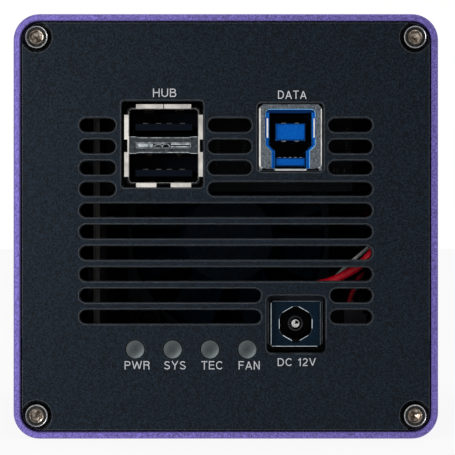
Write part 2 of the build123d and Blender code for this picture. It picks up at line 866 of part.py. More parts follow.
def board_links():
    """The plugs that join the two rear boards to the upright main board."""
    spans = ((hub_z - link_drop, port_spacer_z - head_r - link_gap),
             (power_spacer_z + head_r + link_gap, lamp_z + link_rise))
    return [block(main_right, main_right + link_w, z0, z1, board_front - link_t, board_front)
            for z0, z1 in spans]


def board_screws():
    return [cap_screw(x, z, board_front, board_screw_length, -1) for x, z in port_spacers + power_spacers]


# ---------------------------------------------------------------- fan
def fan_frame():
    outline = Pos(*fan_centre) * RectangleRounded(fan_size, fan_size, fan_corner_r)
    frame = slab(outline, fan_front, fan_rear) - rod(fan_duct_r, fan_front, fan_rear, *fan_centre)
    for x, z in fan_holes:
        frame -= rod(fan_hole_r, fan_front, fan_rear, x, z)
    frame += rod(fan_hub_r + fan_disc_edge, fan_front, motor_floor, *fan_centre)
    end = fan_duct_r + fan_strut_root
    for turn in fan_strut_turns:
        strut = Rot(0, 0, turn) * Pos((fan_hub_r + end) / 2, 0) * Rectangle(end - fan_hub_r, fan_strut_w)
        frame += slab(Pos(*fan_centre) * strut, fan_front, motor_floor)
    return frame + ring(fan_tube_r, fan_bearing_r, motor_floor, tube_end, *fan_centre)


def fan_bearing():
    start = motor_floor + fan_bearing_lift
    return ring(fan_bearing_r, fan_shaft_r + fan_bearing_gap, start, tube_end, *fan_centre)


def fan_shaft():
    return rod(fan_shaft_r, motor_floor + fan_end_gap, rotor_rear - fan_hub_wall, *fan_centre)


def fan_blade():
    """One blade between the hub and the duct, twisted as it goes out."""
    sections = []
    ends = ((fan_hub_r - overrun, fan_blade_root), (fan_tip_r + overrun, fan_blade_tip))
    for radius, (pitch, chord, camber) in ends:
        frame = Plane(origin=(0, 0, radius), x_dir=(1, 0, 0), z_dir=(0, 0, 1))
        back = ThreePointArc((-chord / 2, 0), (0, camber + fan_blade_t / 2), (chord / 2, 0))
        front = ThreePointArc((chord / 2, 0), (0, camber - fan_blade_t / 2), (-chord / 2, 0))
        sections.append(frame * Rot(0, 0, pitch) * make_face([back, front]))
    blade_rear = rotor_rear - fan_blade_edge
    blade = Pos(0, -(rotor_front + blade_rear) / 2, 0) * loft(sections)
    return blade & slab(Circle(fan_tip_r) - Circle(fan_hub_r - snug_gap), rotor_front, blade_rear)


def fan_rotor():
    inside = rotor_rear - fan_hub_wall
    rotor = turned([(fan_hub_r, rotor_front), (fan_hub_r, rotor_rear - fan_hub_chamfer),
                    (fan_hub_r - fan_hub_chamfer, rotor_rear), (0, rotor_rear), (0, inside),
                    (yoke_r, inside), (yoke_r, rotor_front)])
    rotor += ring(fan_shaft_r + fan_boss_wall, fan_shaft_r, tube_end + fan_boss_gap, inside)
    blade = fan_blade()
    for number in range(fan_blades):
        rotor += Rot(0, number * 360 / fan_blades, 0) * blade
    return Pos(fan_x, 0, fan_z) * rotor


def fan_yoke():
    return ring(yoke_r, magnet_r, rotor_front + yoke_gap, rotor_rear - fan_hub_wall, *fan_centre)


def fan_magnet():
    start, end = rotor_front + magnet_gap, rotor_rear - fan_hub_wall - magnet_gap
    return ring(magnet_r, magnet_r - magnet_t, start, end, *fan_centre)


def fan_stator():
    """A four-pole core pressed on the bearing tube."""
    core = Circle(fan_tube_r + stator_ring_t)
    middle = (fan_tube_r + stator_r) / 2
    for turn in pole_turns:
        core += Rot(0, 0, turn) * Pos(middle, 0) * Rectangle(stator_r - fan_tube_r, pole_w)
        core += Rot(0, 0, turn) * Pos(stator_r - pole_shoe_t / 2, 0) * Rectangle(pole_shoe_t, pole_shoe_w)
    core = core & Circle(stator_r)
    core -= Circle(fan_tube_r)
    return slab(Pos(*fan_centre) * core, stator_front, stator_end)


def fan_coils():
    """Windings on both sides of each pole, between its shoe and the core's ring."""
    middle = (fan_tube_r + stator_ring_t + stator_r - pole_shoe_t) / 2
    rise = pole_w / 2 + coil_gap + coil_w / 2
    coils = []
    for turn in pole_turns:
        for side in (-1, 1):
            winding = Rot(0, 0, turn) * Pos(middle, side * rise) * Rectangle(coil_length, coil_w)
            coils.append(slab(Pos(*fan_centre) * winding, stator_front, stator_end))
    return coils


def fan_motor_board():
    outer = fan_hub_r - motor_board_edge
    return ring(outer, fan_tube_r, motor_floor, motor_floor + motor_board_t, *fan_centre)


def fan_screws():
    return [cap_screw(x, z, fan_rear, fan_screw_length, 1, fan_screw_r, fan_screw_head_r, fan_screw_head_h)
            for x, z in fan_holes]


# ---------------------------------------------------------------- heat sink and cooler
def heat_sink():
    sink = slab(RectangleRounded(sink_size, sink_size, sink_corner_r), sink_front, sink_back)
    count = int(sink_size / sink_fin_pitch)
    first = (count - 1) / 2
    reach = sink_size / 2
    short = chamber_screw_at - head_r - sink_head_gap
    for number in range(count):
        z = (number - first) * sink_fin_pitch
        end = short if abs(z) + sink_fin_t / 2 > short else reach
        sink += block(-end, end, z - sink_fin_t / 2, z + sink_fin_t / 2, sink_back, fin_tips)
    side = sink_pillar / 2
    thread_depth = fan_screw_length - fan_t + screw_runout
    for x, z in fan_holes:
        sink += block(x - side, x + side, z - side, z + side, sink_back, fin_tips)
        sink -= rod(fan_screw_r + thread_clearance, fin_tips - thread_depth, fin_tips, x, z)
    hot = cooler_hot / 2
    sink += block(-hot, hot, -hot, hot, sink_front, cooler_rear)
    for x, z in chamber_holes:
        sink -= rod(screw_r + hole_clearance, sink_front, sink_back, x, z)
    return sink


def cooler_plates():
    plates = []
    stack = ((cooler_hot, cooler_rear), (cooler_cold, cooler_middle), (cooler_cold, cooler_front + ceramic_t))
    for size, rear in stack:
        plates.append(block(-size / 2, size / 2, -size / 2, size / 2, rear - ceramic_t, rear))
    return plates


def cooler_pellets():
    """Two layers of pellets, one on each side of the middle plate."""
    span = cooler_cold - 2 * pellet_margin
    pellets = []
    for count, rear in ((6, cooler_rear - ceramic_t), (5, cooler_middle - ceramic_t)):
        step = span / (count - 1)
        for column in range(count):
            for row in range(count):
                x, z = column * step - span / 2, row * step - span / 2
                pellets.append(block(x - pellet / 2, x + pellet / 2, z - pellet / 2, z + pellet / 2,
                                     rear - pellet_t, rear))
    return pellets


def cold_finger():
    side = cooler_cold / 2
    finger = block(-side, side, -side, side, finger_rear, cooler_front)
    return finger + block(-finger_w / 2, finger_w / 2, -finger_h / 2, finger_h / 2, board_face, finger_rear)


# ---------------------------------------------------------------- chamber and sensor
def chamber():
    outline = RectangleRounded(chamber_size, chamber_size, chamber_corner_r)
    pocket = RectangleRounded(chamber_inner, chamber_inner, chamber_pocket_r)
    wall = slab(outline - pocket, chamber_front, chamber_rear)
    for x, z in chamber_holes:
        wall -= rod(screw_r + hole_clearance, chamber_front, chamber_rear, x, z)
    slit_t = ribbon_t / 2 + ribbon_slit_gap
    slit_w = ribbon_w / 2 + ribbon_slit_gap
    wall -= block(-chamber_size / 2, -chamber_inner / 2, -slit_w, slit_w,
                  ribbon_depth - slit_t, ribbon_depth + slit_t)
    for depth, z, _ in lead_exits:
        hole = Plane.YZ.offset(chamber_inner / 2 - overrun) * Pos(-depth, z) * Circle(grommet_r)
        wall -= extrude(hole, amount=chamber_wall + 2 * overrun)
    return wall


def lead_grommets():
    grommets = []
    for depth, z, diameter in lead_exits:
        section = Pos(-depth, z) * (Circle(grommet_r - snug_gap) - Circle(diameter / 2 + snug_gap))
        seat = Plane.YZ.offset(chamber_inner / 2)
        grommets.append(extrude(seat * section, amount=chamber_wall + grommet_lip))
    return grommets


def chamber_gaskets():
    size = chamber_size - 2 * gasket_edge
    outline = RectangleRounded(size, size, chamber_corner_r)
    outline -= RectangleRounded(chamber_inner, chamber_inner, chamber_pocket_r)
    for x, z in chamber_holes:
        outline -= Pos(x, z) * Circle(screw_r + hole_clearance)
    return [slab(outline, boss_end, chamber_front), slab(outline, chamber_rear, sink_front)]


def chamber_screws():
    length = sink_back - front_inside - chamber_floor - chamber_screw_spare
    return [cap_screw(x, z, sink_back, length, 1) for x, z in chamber_holes]


def sensor_package():
    package = block(-sensor_w / 2, sensor_w / 2, -sensor_h / 2, sensor_h / 2, sensor_front, board_face)
    well_w, well_h = sensor_w / 2 - sensor_wall, sensor_h / 2 - sensor_wall
    return package - block(-well_w, well_w, -well_h, well_h, sensor_front, die_face + die_t)


def sensor_die():
    return block(-die_w / 2, die_w / 2, -die_h / 2, die_h / 2, die_face, die_face + die_t)


def sensor_cover():
    width, height = sensor_w / 2 - cover_edge, sensor_h / 2 - cover_edge
    return block(-width, width, -height, height, sensor_front - cover_glass_t, sensor_front)


def sensor_board_piece():
    outline = RectangleRounded(sensor_board_size, sensor_board_size, chamber_pocket_r)
    outline -= Rectangle(finger_w + 2 * finger_gap, finger_h + 2 * finger_gap)
    board = slab(outline, board_face, sensor_board_rear)
    for x, z in sensor_posts:
        board -= rod(screw_r + hole_clearance, board_face, sensor_board_rear, x, z)
    return board


def sensor_screws():
    return [cap_screw(x, z, sensor_board_rear, sensor_screw_length, 1) for x, z in sensor_posts]


def sensor_ribbon():
    """A flat cable from the back of the sensor board, out of the chamber and back to the main board."""
    out_x = -side_space_x
    side_x = main_left - ribbon_t / 2
    path = FilletPolyline(
        (-sensor_board_size / 2 + ribbon_pad, -ribbon_depth), (out_x, -ribbon_depth),
        (out_x, -fin_tips - ribbon_turn_depth), (side_x, -main_front - ribbon_land),
        (side_x, -main_front - ribbon_end), radius=[2.5, 6.0, 6.0])
    strip = trace(path, ribbon_t)
    return Pos(0, 0, -ribbon_w / 2) * extrude(strip, amount=ribbon_w)


# ---------------------------------------------------------------- window and nose
def window():
    return rod(window_r, window_front, window_rear)


def window_seal():
    """An O-ring under the window, squeezed flatter than its section."""
    middle = Pos(window_r - seal_section_r - seal_inset, -window_rear - seal_height / 2)
    section = middle * RectangleRounded(2 * seal_section_r, seal_height, seal_height / 2 - snug_gap)
    return revolve(Plane.XY * section, Axis.Y)


def window_retainer():
    return ring(window_r + window_gap - retainer_gap, window_r - retainer_edge, front_face, window_front)


def nose_adapter():
    nose = turned([(thread_r, 0), (nose_r - nose_chamfer, 0), (nose_r, nose_chamfer), (nose_r, nose_flange),
                   (nose_flange_r - nose_chamfer, nose_flange), (nose_flange_r, nose_flange + nose_chamfer),
                   (nose_flange_r, nose_length), (thread_r, nose_length)])
    for x, z in nose_holes:
        nose -= rod(screw_r + hole_clearance, nose_flange, nose_length, x, z)
        nose -= rod(head_r + head_clearance, nose_flange, nose_flange + nose_screw_sink, x, z)
    return nose


def nose_screw_set():
    return [cap_screw(x, z, nose_flange + nose_screw_sink, nose_screw_length, -1) for x, z in nose_holes]


# ---------------------------------------------------------------- leads
def supply_terminals():
    low, high = terminal_z - terminal_h / 2, terminal_z + terminal_h / 2
    return [block(x - terminal_w / 2, x + terminal_w / 2, low, high, board_rear, terminal_top)
            for x in terminal_x]


def cooler_lead_red():
    side_x = side_space_x
    start = (cooler_hot + cooler_cold) / 4
    return lead([(start, cooler_lead_depth, red_exit_z), (side_x, cooler_lead_depth, red_exit_z),
                 (side_x, 86.0, red_exit_z), (29.2, 91.8, -3.8), (25.6, 91.9, -7.9), (20.5, 91.9, -10.5),
                 (terminal_x[0], 91.6, terminal_z), (terminal_x[0], terminal_top, terminal_z)],
                [4.0, 8.0, 7.0, 8.0, 9.0, 2.6], power_lead_d)


def cooler_lead_black():
    side_x = side_space_x
    start = (cooler_hot + cooler_cold) / 4
    return lead([(start, cooler_lead_depth, black_exit_z), (side_x, cooler_lead_depth, black_exit_z),
                 (side_x, 80.0, black_exit_z), (28.6, 88.2, -7.0), (22.6, 89.4, -10.2),
                 (terminal_x[1], 89.6, terminal_z), (terminal_x[1], terminal_top, terminal_z)],
                [4.0, 8.0, 7.0, 5.0, 2.0], power_lead_d)


def fan_header():
    side = plug_w / 2 + header_margin
    end = board_rear + header_t
    return block(plug_x - side, plug_x + side, plug_low - header_h, plug_low, board_rear, end)


def fan_plug():
    """The plug in the fan's header, with a notch in its outer corner."""
    right, end = plug_x + plug_w / 2, plug_front + plug_t
    body = block(plug_x - plug_w / 2, right, plug_low, plug_top, plug_front, end)
    return body - block(right - plug_notch_w, right, plug_top - plug_notch_h, plug_top, plug_front, end)


def fan_lead_red():
    pin_x = plug_x - 0.95
    return lead([(fan_x + fan_size / 2, fan_lead_start, 5.5), (30.2, fan_lead_start, 5.5),
                 (30.2, 80.5, -1.5), (28.4, 84.6, -5.4), (pin_x, plug_depth, -13.9),
                 (pin_x, plug_depth, plug_top)],
                [3.0, 5.0, 4.0, 4.0], fan_lead_d)


def fan_lead_black():
    pin_x = plug_x + 0.95
    return lead([(fan_x + fan_size / 2, fan_lead_start, 1.1), (31.9, fan_lead_start, 1.1),
                 (31.9, 78.0, -6.0), (30.4, 83.6, -9.0), (pin_x, plug_depth, -13.9),
                 (pin_x, plug_depth, plug_top)],
                [3.0, 4.0, 4.0, 3.0], fan_lead_d)


def sense_lead():
    side_x = sink_size / 2 + sense_lead_side
    return lead([(cooler_cold / 2, sense_lead_depth, sense_exit_z), (side_x, sense_lead_depth, sense_exit_z),
                 (side_x, 79.0, 4.5), (30.0, 86.0, -2.4), (24.9, 88.6, -6.4), (22.6, 80.2, -9.2),
                 (18.6, 79.9, -13.4), (18.6, board_front, -13.4)],
                [1.9, 8.0, 4.0, 2.6, 2.0, 0.9], sense_lead_d)


# ---------------------------------------------------------------- the whole camera
def main():
    os.makedirs("parts", exist_ok=True)
    save("body_shell", body_shell())
    save("rear_plate", rear_plate())
    save("rear_screws", *corner_screws(rear_face, 1))
    save("front_plate", front_plate())
    save("front_screws", *corner_screws(front_face, -1))
    save("hub_port_shell", hub_shell())
    save("hub_port_insulator", *hub_insulator())
    save("hub_port_contacts", *hub_contacts())
    save("hub_port_light_pipe", hub_light_pipe())
    save("data_port_shell", data_shell())
    save("data_port_insulator", data_insulator())
    save("data_port_contacts", *data_contacts())
    save("power_jack_body", jack_body())
    save("power_jack_sleeve", jack_sleeve())
    save("power_jack_pin", jack_pin())
    save("lamp_light_pipes", *lamp_pipes())
    save("lamp_leds", *lamp_leds())
    save("port_board", port_board())
    save("power_board", power_board())
    save("main_board", main_board())
    save("board_links", *board_links())
    save("board_screws", *board_screws())
    save("fan_frame", fan_frame())
    save("fan_bearing", fan_bearing())
    save("fan_shaft", fan_shaft())
    save("fan_rotor", fan_rotor())
    save("fan_yoke", fan_yoke())
    save("fan_magnet", fan_magnet())
    save("fan_stator", fan_stator())
    save("fan_coils", *fan_coils())
    save("fan_motor_board", fan_motor_board())
    save("fan_screws", *fan_screws())
    save("heat_sink", heat_sink())
    save("cooler_plates", *cooler_plates())
    save("cooler_pellets", *cooler_pellets())
    save("cold_finger", cold_finger())
    save("sensor_chamber", chamber())
    save("lead_grommets", *lead_grommets())
    save("chamber_gaskets", *chamber_gaskets())
    save("chamber_screws", *chamber_screws())
    save("sensor_package", sensor_package())
    save("sensor_die", sensor_die())
    save("sensor_cover_glass", sensor_cover())
    save("sensor_board", sensor_board_piece())
    save("sensor_screws", *sensor_screws())
    save("sensor_ribbon", sensor_ribbon())
    save("window_glass", window())
    save("window_seal", window_seal())
    save("window_retainer", window_retainer())
    save("nose_adapter", nose_adapter())
    save("nose_screws", *nose_screw_set())
    save("supply_terminals", *supply_terminals())
    save("cooler_lead_red", cooler_lead_red())
    save("cooler_lead_black", cooler_lead_black())
    save("fan_header", fan_header())
    save("fan_plug", fan_plug())
    save("fan_lead_red", fan_lead_red())
    save("fan_lead_black", fan_lead_black())
    save("sense_lead", sense_lead())


main()
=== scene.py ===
"""Finishes, small parts and studio for a cooled astronomy guide camera."""

import json
import math
from functools import partial
from itertools import chain, product

import bmesh
import bpy
from bpy.props import FloatProperty, FloatVectorProperty, PointerProperty
from bpy.types import Operator, Panel, PropertyGroup
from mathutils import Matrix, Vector


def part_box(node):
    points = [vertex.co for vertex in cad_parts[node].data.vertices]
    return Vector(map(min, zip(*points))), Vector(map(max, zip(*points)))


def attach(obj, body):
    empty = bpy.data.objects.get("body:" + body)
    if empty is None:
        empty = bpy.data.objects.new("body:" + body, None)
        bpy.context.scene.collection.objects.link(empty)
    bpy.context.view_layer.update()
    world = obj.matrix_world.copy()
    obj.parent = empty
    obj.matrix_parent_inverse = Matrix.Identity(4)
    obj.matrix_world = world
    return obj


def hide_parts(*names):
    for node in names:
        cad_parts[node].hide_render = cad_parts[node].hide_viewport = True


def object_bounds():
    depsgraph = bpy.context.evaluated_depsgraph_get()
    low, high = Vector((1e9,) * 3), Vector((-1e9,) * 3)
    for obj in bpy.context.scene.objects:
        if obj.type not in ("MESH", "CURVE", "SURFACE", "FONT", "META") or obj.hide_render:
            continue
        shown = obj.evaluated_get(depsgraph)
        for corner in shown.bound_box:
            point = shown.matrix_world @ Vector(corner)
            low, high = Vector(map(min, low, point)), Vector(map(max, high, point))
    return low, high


bl_info = {
    "name": "Cooled guide camera",
    "version": (1, 0, 0),
    "blender": (4, 5, 0),
    "location": "3D View > Sidebar > Guide camera",
    "description": "Finishes, lettering, port fittings and a studio for a cooled guide camera",
    "category": "Object",
}

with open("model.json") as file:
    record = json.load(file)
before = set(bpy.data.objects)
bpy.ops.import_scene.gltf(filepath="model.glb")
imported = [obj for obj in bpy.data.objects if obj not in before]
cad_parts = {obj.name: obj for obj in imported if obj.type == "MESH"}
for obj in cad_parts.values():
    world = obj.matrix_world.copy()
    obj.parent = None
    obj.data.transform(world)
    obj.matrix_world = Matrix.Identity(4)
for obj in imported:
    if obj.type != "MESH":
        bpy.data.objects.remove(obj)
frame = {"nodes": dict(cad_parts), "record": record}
cad_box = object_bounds()

MM = 0.001

# How far apart the bands of a wave texture are at a scale of 1
WAVE_STEP = 0.314

# Sharper turns than this, in degrees, are the edges that a bevel rounds
BEVEL_ANGLE = 35


# ------------------------------------------------------------------ settings


def colour_setting(name, description, default):
    """A colour, written as it looks on a screen."""
    return FloatVectorProperty(
        name=name, description=description, default=[c / 255 for c in default], size=3,
        min=0.0, max=1.0, subtype="COLOR_GAMMA",
    )


def length_setting(name, description, millimetres):
    """A length in metres, given here in millimetres."""
    return FloatProperty(
        name=name, description=description, default=millimetres * MM, min=0.0,
        precision=5, subtype="DISTANCE", unit="LENGTH",
    )


class GuideCameraColours(PropertyGroup):
    """Colours of the camera's finishes."""

    shell: colour_setting("Shell", "Purple anodising of the body shell", (108, 97, 165))
    plates: colour_setting("Plates", "Blue-black anodising of the plates", (14, 23, 32))
    legends: colour_setting("Legends", "Ink of the rear plate's lettering", (188, 190, 194))
    data_liner: colour_setting("Data port", "Blue plastic of the data port", (0, 84, 172))
    red_lead: colour_setting("Red leads", "Insulation of the red leads", (188, 14, 36))
    lamps: colour_setting("Lamps", "Frosted ends of the indicator lamps", (78, 84, 85))
    jack: colour_setting("Power jack", "Gloss plastic of the power jack", (10, 24, 35))
    boards: colour_setting("Boards", "Solder resist of the circuit boards", (6, 9, 12))


class GuideCameraSizes(PropertyGroup):
    """Sizes of the camera's small parts."""

    ink_rise: length_setting("Ink rise", "How far the lettering stands on the plate", 0.02)
    ink_stroke: length_setting("Ink stroke", "Width of a letter's stroke", 0.18)
    spring_sheet: length_setting("Spring sheet", "Thickness of the ports' springs", 0.2)
    thread_pitch: length_setting("Thread pitch", "Pitch of the telescope thread", 0.75)
    bond_wire: length_setting("Bond wire", "Thickness of the sensor's bond wires", 0.05)


class GuideCameraStudio(PropertyGroup):
    """Light, floor and view."""

    distance: length_setting("Distance", "From the lens to the rear plate", 350.0)
    focal_length: FloatProperty(
        name="Focal length", description="Lens in millimetres on a 36 mm wide sensor",
        default=147.0, min=20.0, max=400.0,
    )
    ambient: FloatProperty(
        name="Room light", description="Strength of the even light of the room",
        default=0.6, min=0.0, max=2.0,
    )
    key_power: FloatProperty(
        name="Main lamp", description="Power of the soft lamp on the left", default=0.75,
        min=0.0, max=50.0, subtype="POWER", unit="POWER",
    )
    fill_power: FloatProperty(
        name="Second lamp", description="Power of the soft lamp above on the right",
        default=0.3, min=0.0, max=50.0, subtype="POWER", unit="POWER",
    )


def colours():
    return bpy.context.scene.guide_camera_colours


def sizes():
    return bpy.context.scene.guide_camera_sizes


def studio():
    return bpy.context.scene.guide_camera_studio


# ------------------------------------------------------------------ finishes


def light(colour):
    """A screen colour as the light it stands for."""
    return tuple(
        c / 12.92 if c <= 0.04045 else ((c + 0.055) / 1.055) ** 2.4 for c in colour
    )


def screen(red, green, blue):
    """A screen colour from its 0 to 255 values, as the light it stands for."""
    return light((red / 255, green / 255, blue / 255))


def shade(colour, factor):
    """A colour, darker or lighter by a factor."""
    return tuple(min(c * factor, 1.0) for c in colour)


class Nodes:
    """A node tree, with short ways to the nodes that finishes and light are made of."""

    def __init__(self, tree, place="Object"):
        self.tree = tree
        self.place = self.node("ShaderNodeTexCoord").outputs[place]

    def node(self, kind, inputs=None, **settings):
        node = self.tree.nodes.new(kind)
        for name, value in settings.items():
            setattr(node, name, value)
        for name, value in (inputs or {}).items():
            self.fill(node.inputs[name], value)
        return node

    def fill(self, socket, value):
        """Links another node's output to a socket, or sets the socket's own value."""
        if isinstance(value, bpy.types.NodeSocket):
            self.tree.links.new(value, socket)
        elif socket.type == "RGBA":
            socket.default_value = (*value, 1.0)
        else:
            socket.default_value = value

    def stretched(self, stretch, turn=(0.0, 0.0, 0.0)):
        """The object's own place, stretched along its axes."""
        mapping = {"Scale": stretch, "Rotation": turn, "Vector": self.place}
        return self.node("ShaderNodeMapping", mapping).outputs["Vector"]

    def noise(self, size, detail=2.0, roughness=0.5, stretch=None, distortion=0.0):
        """Random mottling, with marks about size millimetres across."""
        return self.node("ShaderNodeTexNoise", {
            "Scale": 1.0 / (size * MM), "Detail": detail, "Roughness": roughness,
            "Distortion": distortion, "Vector": self.stretched(stretch) if stretch else self.place,
        }).outputs["Fac"]

    def cells(self, size):
        """Pebbles or grains, size millimetres across."""
        cells = {"Scale": 1.0 / (size * MM), "Vector": self.place}
        return self.node("ShaderNodeTexVoronoi", cells).outputs["Distance"]

    def lines(self, size, direction, distortion=0.0):
        """Straight marks, size millimetres apart."""
        return self.node("ShaderNodeTexWave", {
            "Scale": WAVE_STEP / (size * MM), "Distortion": distortion, "Vector": self.place,
        }, wave_type="BANDS", bands_direction=direction).outputs["Fac"]

    def spread(self, source, low, high, start=0.3, end=0.7):
        """A number between low and high that follows source from start to end."""
        return self.node("ShaderNodeMapRange", {
            "From Min": start, "From Max": end, "To Min": low, "To Max": high, "Value": source,
        }).outputs["Result"]

    def ramp(self, source, stops):
        """A colour that follows source through the stops."""
        ramp = self.node("ShaderNodeValToRGB", {"Fac": source})
        elements = ramp.color_ramp.elements
        while len(elements) < len(stops):
            elements.new(0.5)
        for element, (position, colour) in zip(elements, stops):
            element.position = position
            element.color = (*colour, 1.0)
        return ramp.outputs["Color"]

    def tones(self, source, first, second, start=0.3, end=0.7):
        """A colour that goes from first to second as source does from start to end."""
        return self.ramp(source, ((start, first), (end, second)))

    def shades(self, source, colour, *stops):
        """The colour, lighter and darker as source goes: a stop is a place and a factor."""
        return self.ramp(source, [(place, shade(colour, factor)) for place, factor in stops])

    def mixed(self, factor, first, second):
        """first where factor is 0 and second where it is 1."""
        inputs = {"Factor": factor, 6: first, 7: second}
        return self.node("ShaderNodeMix", inputs, data_type="RGBA").outputs[2]

    def veiled(self, source, low, high, first, second):
        """first under a veil of second, whose strength follows source from low to high."""
        return self.mixed(self.spread(source, low, high), first, second)

    def edges(self, width):
        """1 on the part's sharp edges and 0 elsewhere."""
        rounding = self.node("ShaderNodeBevel", {"Radius": width * MM}, samples=6)
        dot = self.node("ShaderNodeVectorMath", {
            0: rounding.outputs["Normal"], 1: self.node("ShaderNodeNewGeometry").outputs["Normal"],
        }, operation="DOT_PRODUCT")
        return self.spread(dot.outputs["Value"], 1.0, 0.0, start=0.86, end=0.995)

    def axes(self):
        """The object's own right, back and up, in metres."""
        return self.node("ShaderNodeSeparateXYZ", {"Vector": self.place}).outputs

    def maths(self, operation, first, second=0.0, third=0.0):
        inputs = {0: first, 1: second, 2: third}
        return self.node("ShaderNodeMath", inputs, operation=operation).outputs["Value"]

    def beyond(self, axis, middle, near, far):
        """0 up to near from a plane across an axis, and 1 from far on, all in millimetres."""
        away = self.maths("ABSOLUTE", self.maths("SUBTRACT", self.axes()[axis], middle * MM))
        return self.spread(away, 0.0, 1.0, near * MM, far * MM)

    def sunk_shade(self, lit, dark):
        """A mask for painted shade down in a hollow: 0 out at depth lit and 1 in at depth dark, in
        millimetres from the mouth.
        """
        return self.spread(self.axes()["Y"], 0.0, 1.0, start=-lit * MM, end=-dark * MM)

    def from_lamps(self):
        """How far a point is from the middle of the nearest indicator lamp."""
        right, _, up = self.axes()
        along = self.maths("SUBTRACT", right, (LAMP_X + LAMP_PITCH / 2) * MM)
        along = self.maths("PINGPONG", along, LAMP_PITCH * MM / 2)
        across = self.maths("SUBTRACT", up, LAMP_Z * MM)
        squares = [self.maths("MULTIPLY", side, side) for side in (along, across)]
        return self.maths("SQRT", self.maths("ADD", *squares))

    def rays(self):
        """1 for what the view sees itself, and 1 for what it sees reflected or through glass."""
        rays = self.node("ShaderNodeLightPath").outputs
        indirect = self.maths("MAXIMUM", rays["Is Glossy Ray"], rays["Is Transmission Ray"])
        return rays["Is Camera Ray"], indirect

    def shine(self, share, first, second, output):
        """Sends a mix of two shaders out, the second one's part in it being share."""
        mix = self.node("ShaderNodeMixShader", {"Fac": share, 1: first, 2: second})
        self.fill(self.tree.nodes[output].inputs["Surface"], mix.outputs["Shader"])


class Finish(Nodes):
    """A material whose colour, roughness and relief come from nodes."""

    def __init__(self, name, metallic=0.0, specular=0.5):
        self.material = bpy.data.materials.new(name)
        self.material.use_nodes = True
        super().__init__(self.material.node_tree)
        self.shader = self.tree.nodes["Principled BSDF"]
        self.relief = None
        self.set(Metallic=metallic, Specular_IOR_Level=specular)

    def set(self, **values):
        for socket, value in values.items():
            self.shader.inputs[socket.replace("_", " ")].default_value = value

    def colour(self, source):
        self.fill(self.shader.inputs["Base Color"], source)

    def mottled(self, colour, source, depth=0.2, start=0.3, end=0.7):
        """The base colour, darker and lighter by depth as source goes."""
        self.colour(self.shades(source, colour, (start, 1.0 - depth), (end, 1.0 + depth)))

    def rough(self, source, low, high, start=0.3, end=0.7):
        self.fill(self.shader.inputs["Roughness"], self.spread(source, low, high, start, end))
        return self

    def bump(self, source, height, strength):
        """Adds relief, height millimetres deep, over any relief already there."""
        bump = self.node("ShaderNodeBump", {
            "Strength": strength, "Distance": height * MM, "Height": source,
        })
        if self.relief:
            self.fill(bump.inputs["Normal"], self.relief)
        self.relief = bump.outputs["Normal"]
        self.fill(self.shader.inputs["Normal"], self.relief)
        return self

    def surface(self, marks, low, high, height, strength):
        """The material, with the same marks in its roughness and its relief."""
        return self.rough(marks, low, high).bump(marks, height, strength).material


def blasted_anodising(
    name, colour, worn, painted_shade_depths, metallic=0.85, specular=0.3, rough=(0.42, 0.56), contrast=0.5,
    lamps=False
):
    """Bead-blasted and dyed aluminium, paler on its edges, partly from machined chamfers and partly
    as painted highlight, with painted shade in its pockets.
    """
    finish = Finish(name, metallic, specular)
    grain = finish.noise(0.24, detail=1.0)
    dyed = finish.shades(
        grain, colour, (0.32, 1.0 - contrast), (0.5, 1.0), (0.68, 1.0 + contrast * 1.5)
    )
    faded = finish.shades(finish.cells(0.3), colour, (0.1, 1.7), (0.75, 0.7))
    body = finish.veiled(finish.noise(9.0), 0.2, 0.4, dyed, faded)
    # Painted shade: darker deeper in pockets and cut-outs
    shaded = finish.mixed(finish.sunk_shade(*painted_shade_depths), body, shade(colour, 0.12))
    # Painted highlight, partly real machined chamfer: the paler edge colour on sharp edges, left off
    # round the lamps
    edges = finish.edges(0.2)
    if lamps:
        outside = finish.spread(finish.from_lamps(), 0.2, 1.0, 1.9 * MM, 2.2 * MM)
        edges = finish.maths("MULTIPLY", edges, outside)
    finish.colour(finish.mixed(edges, shaded, worn))
    return finish.surface(grain, *rough, 0.012, 0.6)


def purple_anodising():
    shell = light(colours().shell)
    # The paler shell colour goes on the edges, partly as painted highlight
    return blasted_anodising("Purple anodising", shell, shade(shell, 1.35), (5.0, -5.0))


def black_anodising():
    # The pale grey goes on the edges, partly as painted highlight
    return blasted_anodising(
        "Black anodising", light(colours().plates), screen(104, 110, 114), (5.0, -5.0),
        metallic=0.8, specular=0.1, rough=(0.4, 0.54), contrast=0.85,
    )


def rear_panel():
    """The rear plate's anodising, with painted shade inside its cut-outs and screw pockets and
    painted highlight on their edges.
    """
    return blasted_anodising(
        "Rear panel anodising", light(colours().plates), screen(124, 128, 132), (98.9, 98.2),
        metallic=0.75, specular=0.42, rough=(0.4, 0.52), contrast=1.0, lamps=True,
    )


def screw_steel():
    """Polished and blackened screws, grimy in places, with bare steel on the edges."""
    finish = Finish("Blackened screw steel", metallic=1.0)
    marks = finish.noise(0.5, detail=4.0)
    grime = finish.noise(2.2)
    dark = finish.tones(marks, screen(24, 26, 28), screen(54, 55, 54))
    warm = finish.tones(grime, screen(66, 64, 56), screen(32, 33, 34), 0.35)
    body = finish.veiled(grime, 0.1, 0.4, dark, warm)
    finish.colour(finish.mixed(finish.edges(0.09), body, screen(205, 203, 198)))
    return finish.surface(marks, 0.2, 0.36, 0.004, 0.4)


def black_screw():
    """Black-oxide screws that hold the boards and the fan."""
    finish = Finish("Black oxide screw", metallic=0.8, specular=0.1)
    marks = finish.noise(0.5, detail=4.0)
    finish.mottled(screen(5, 6, 8), marks, 0.3)
    return finish.surface(marks, 0.36, 0.5, 0.006, 0.4)


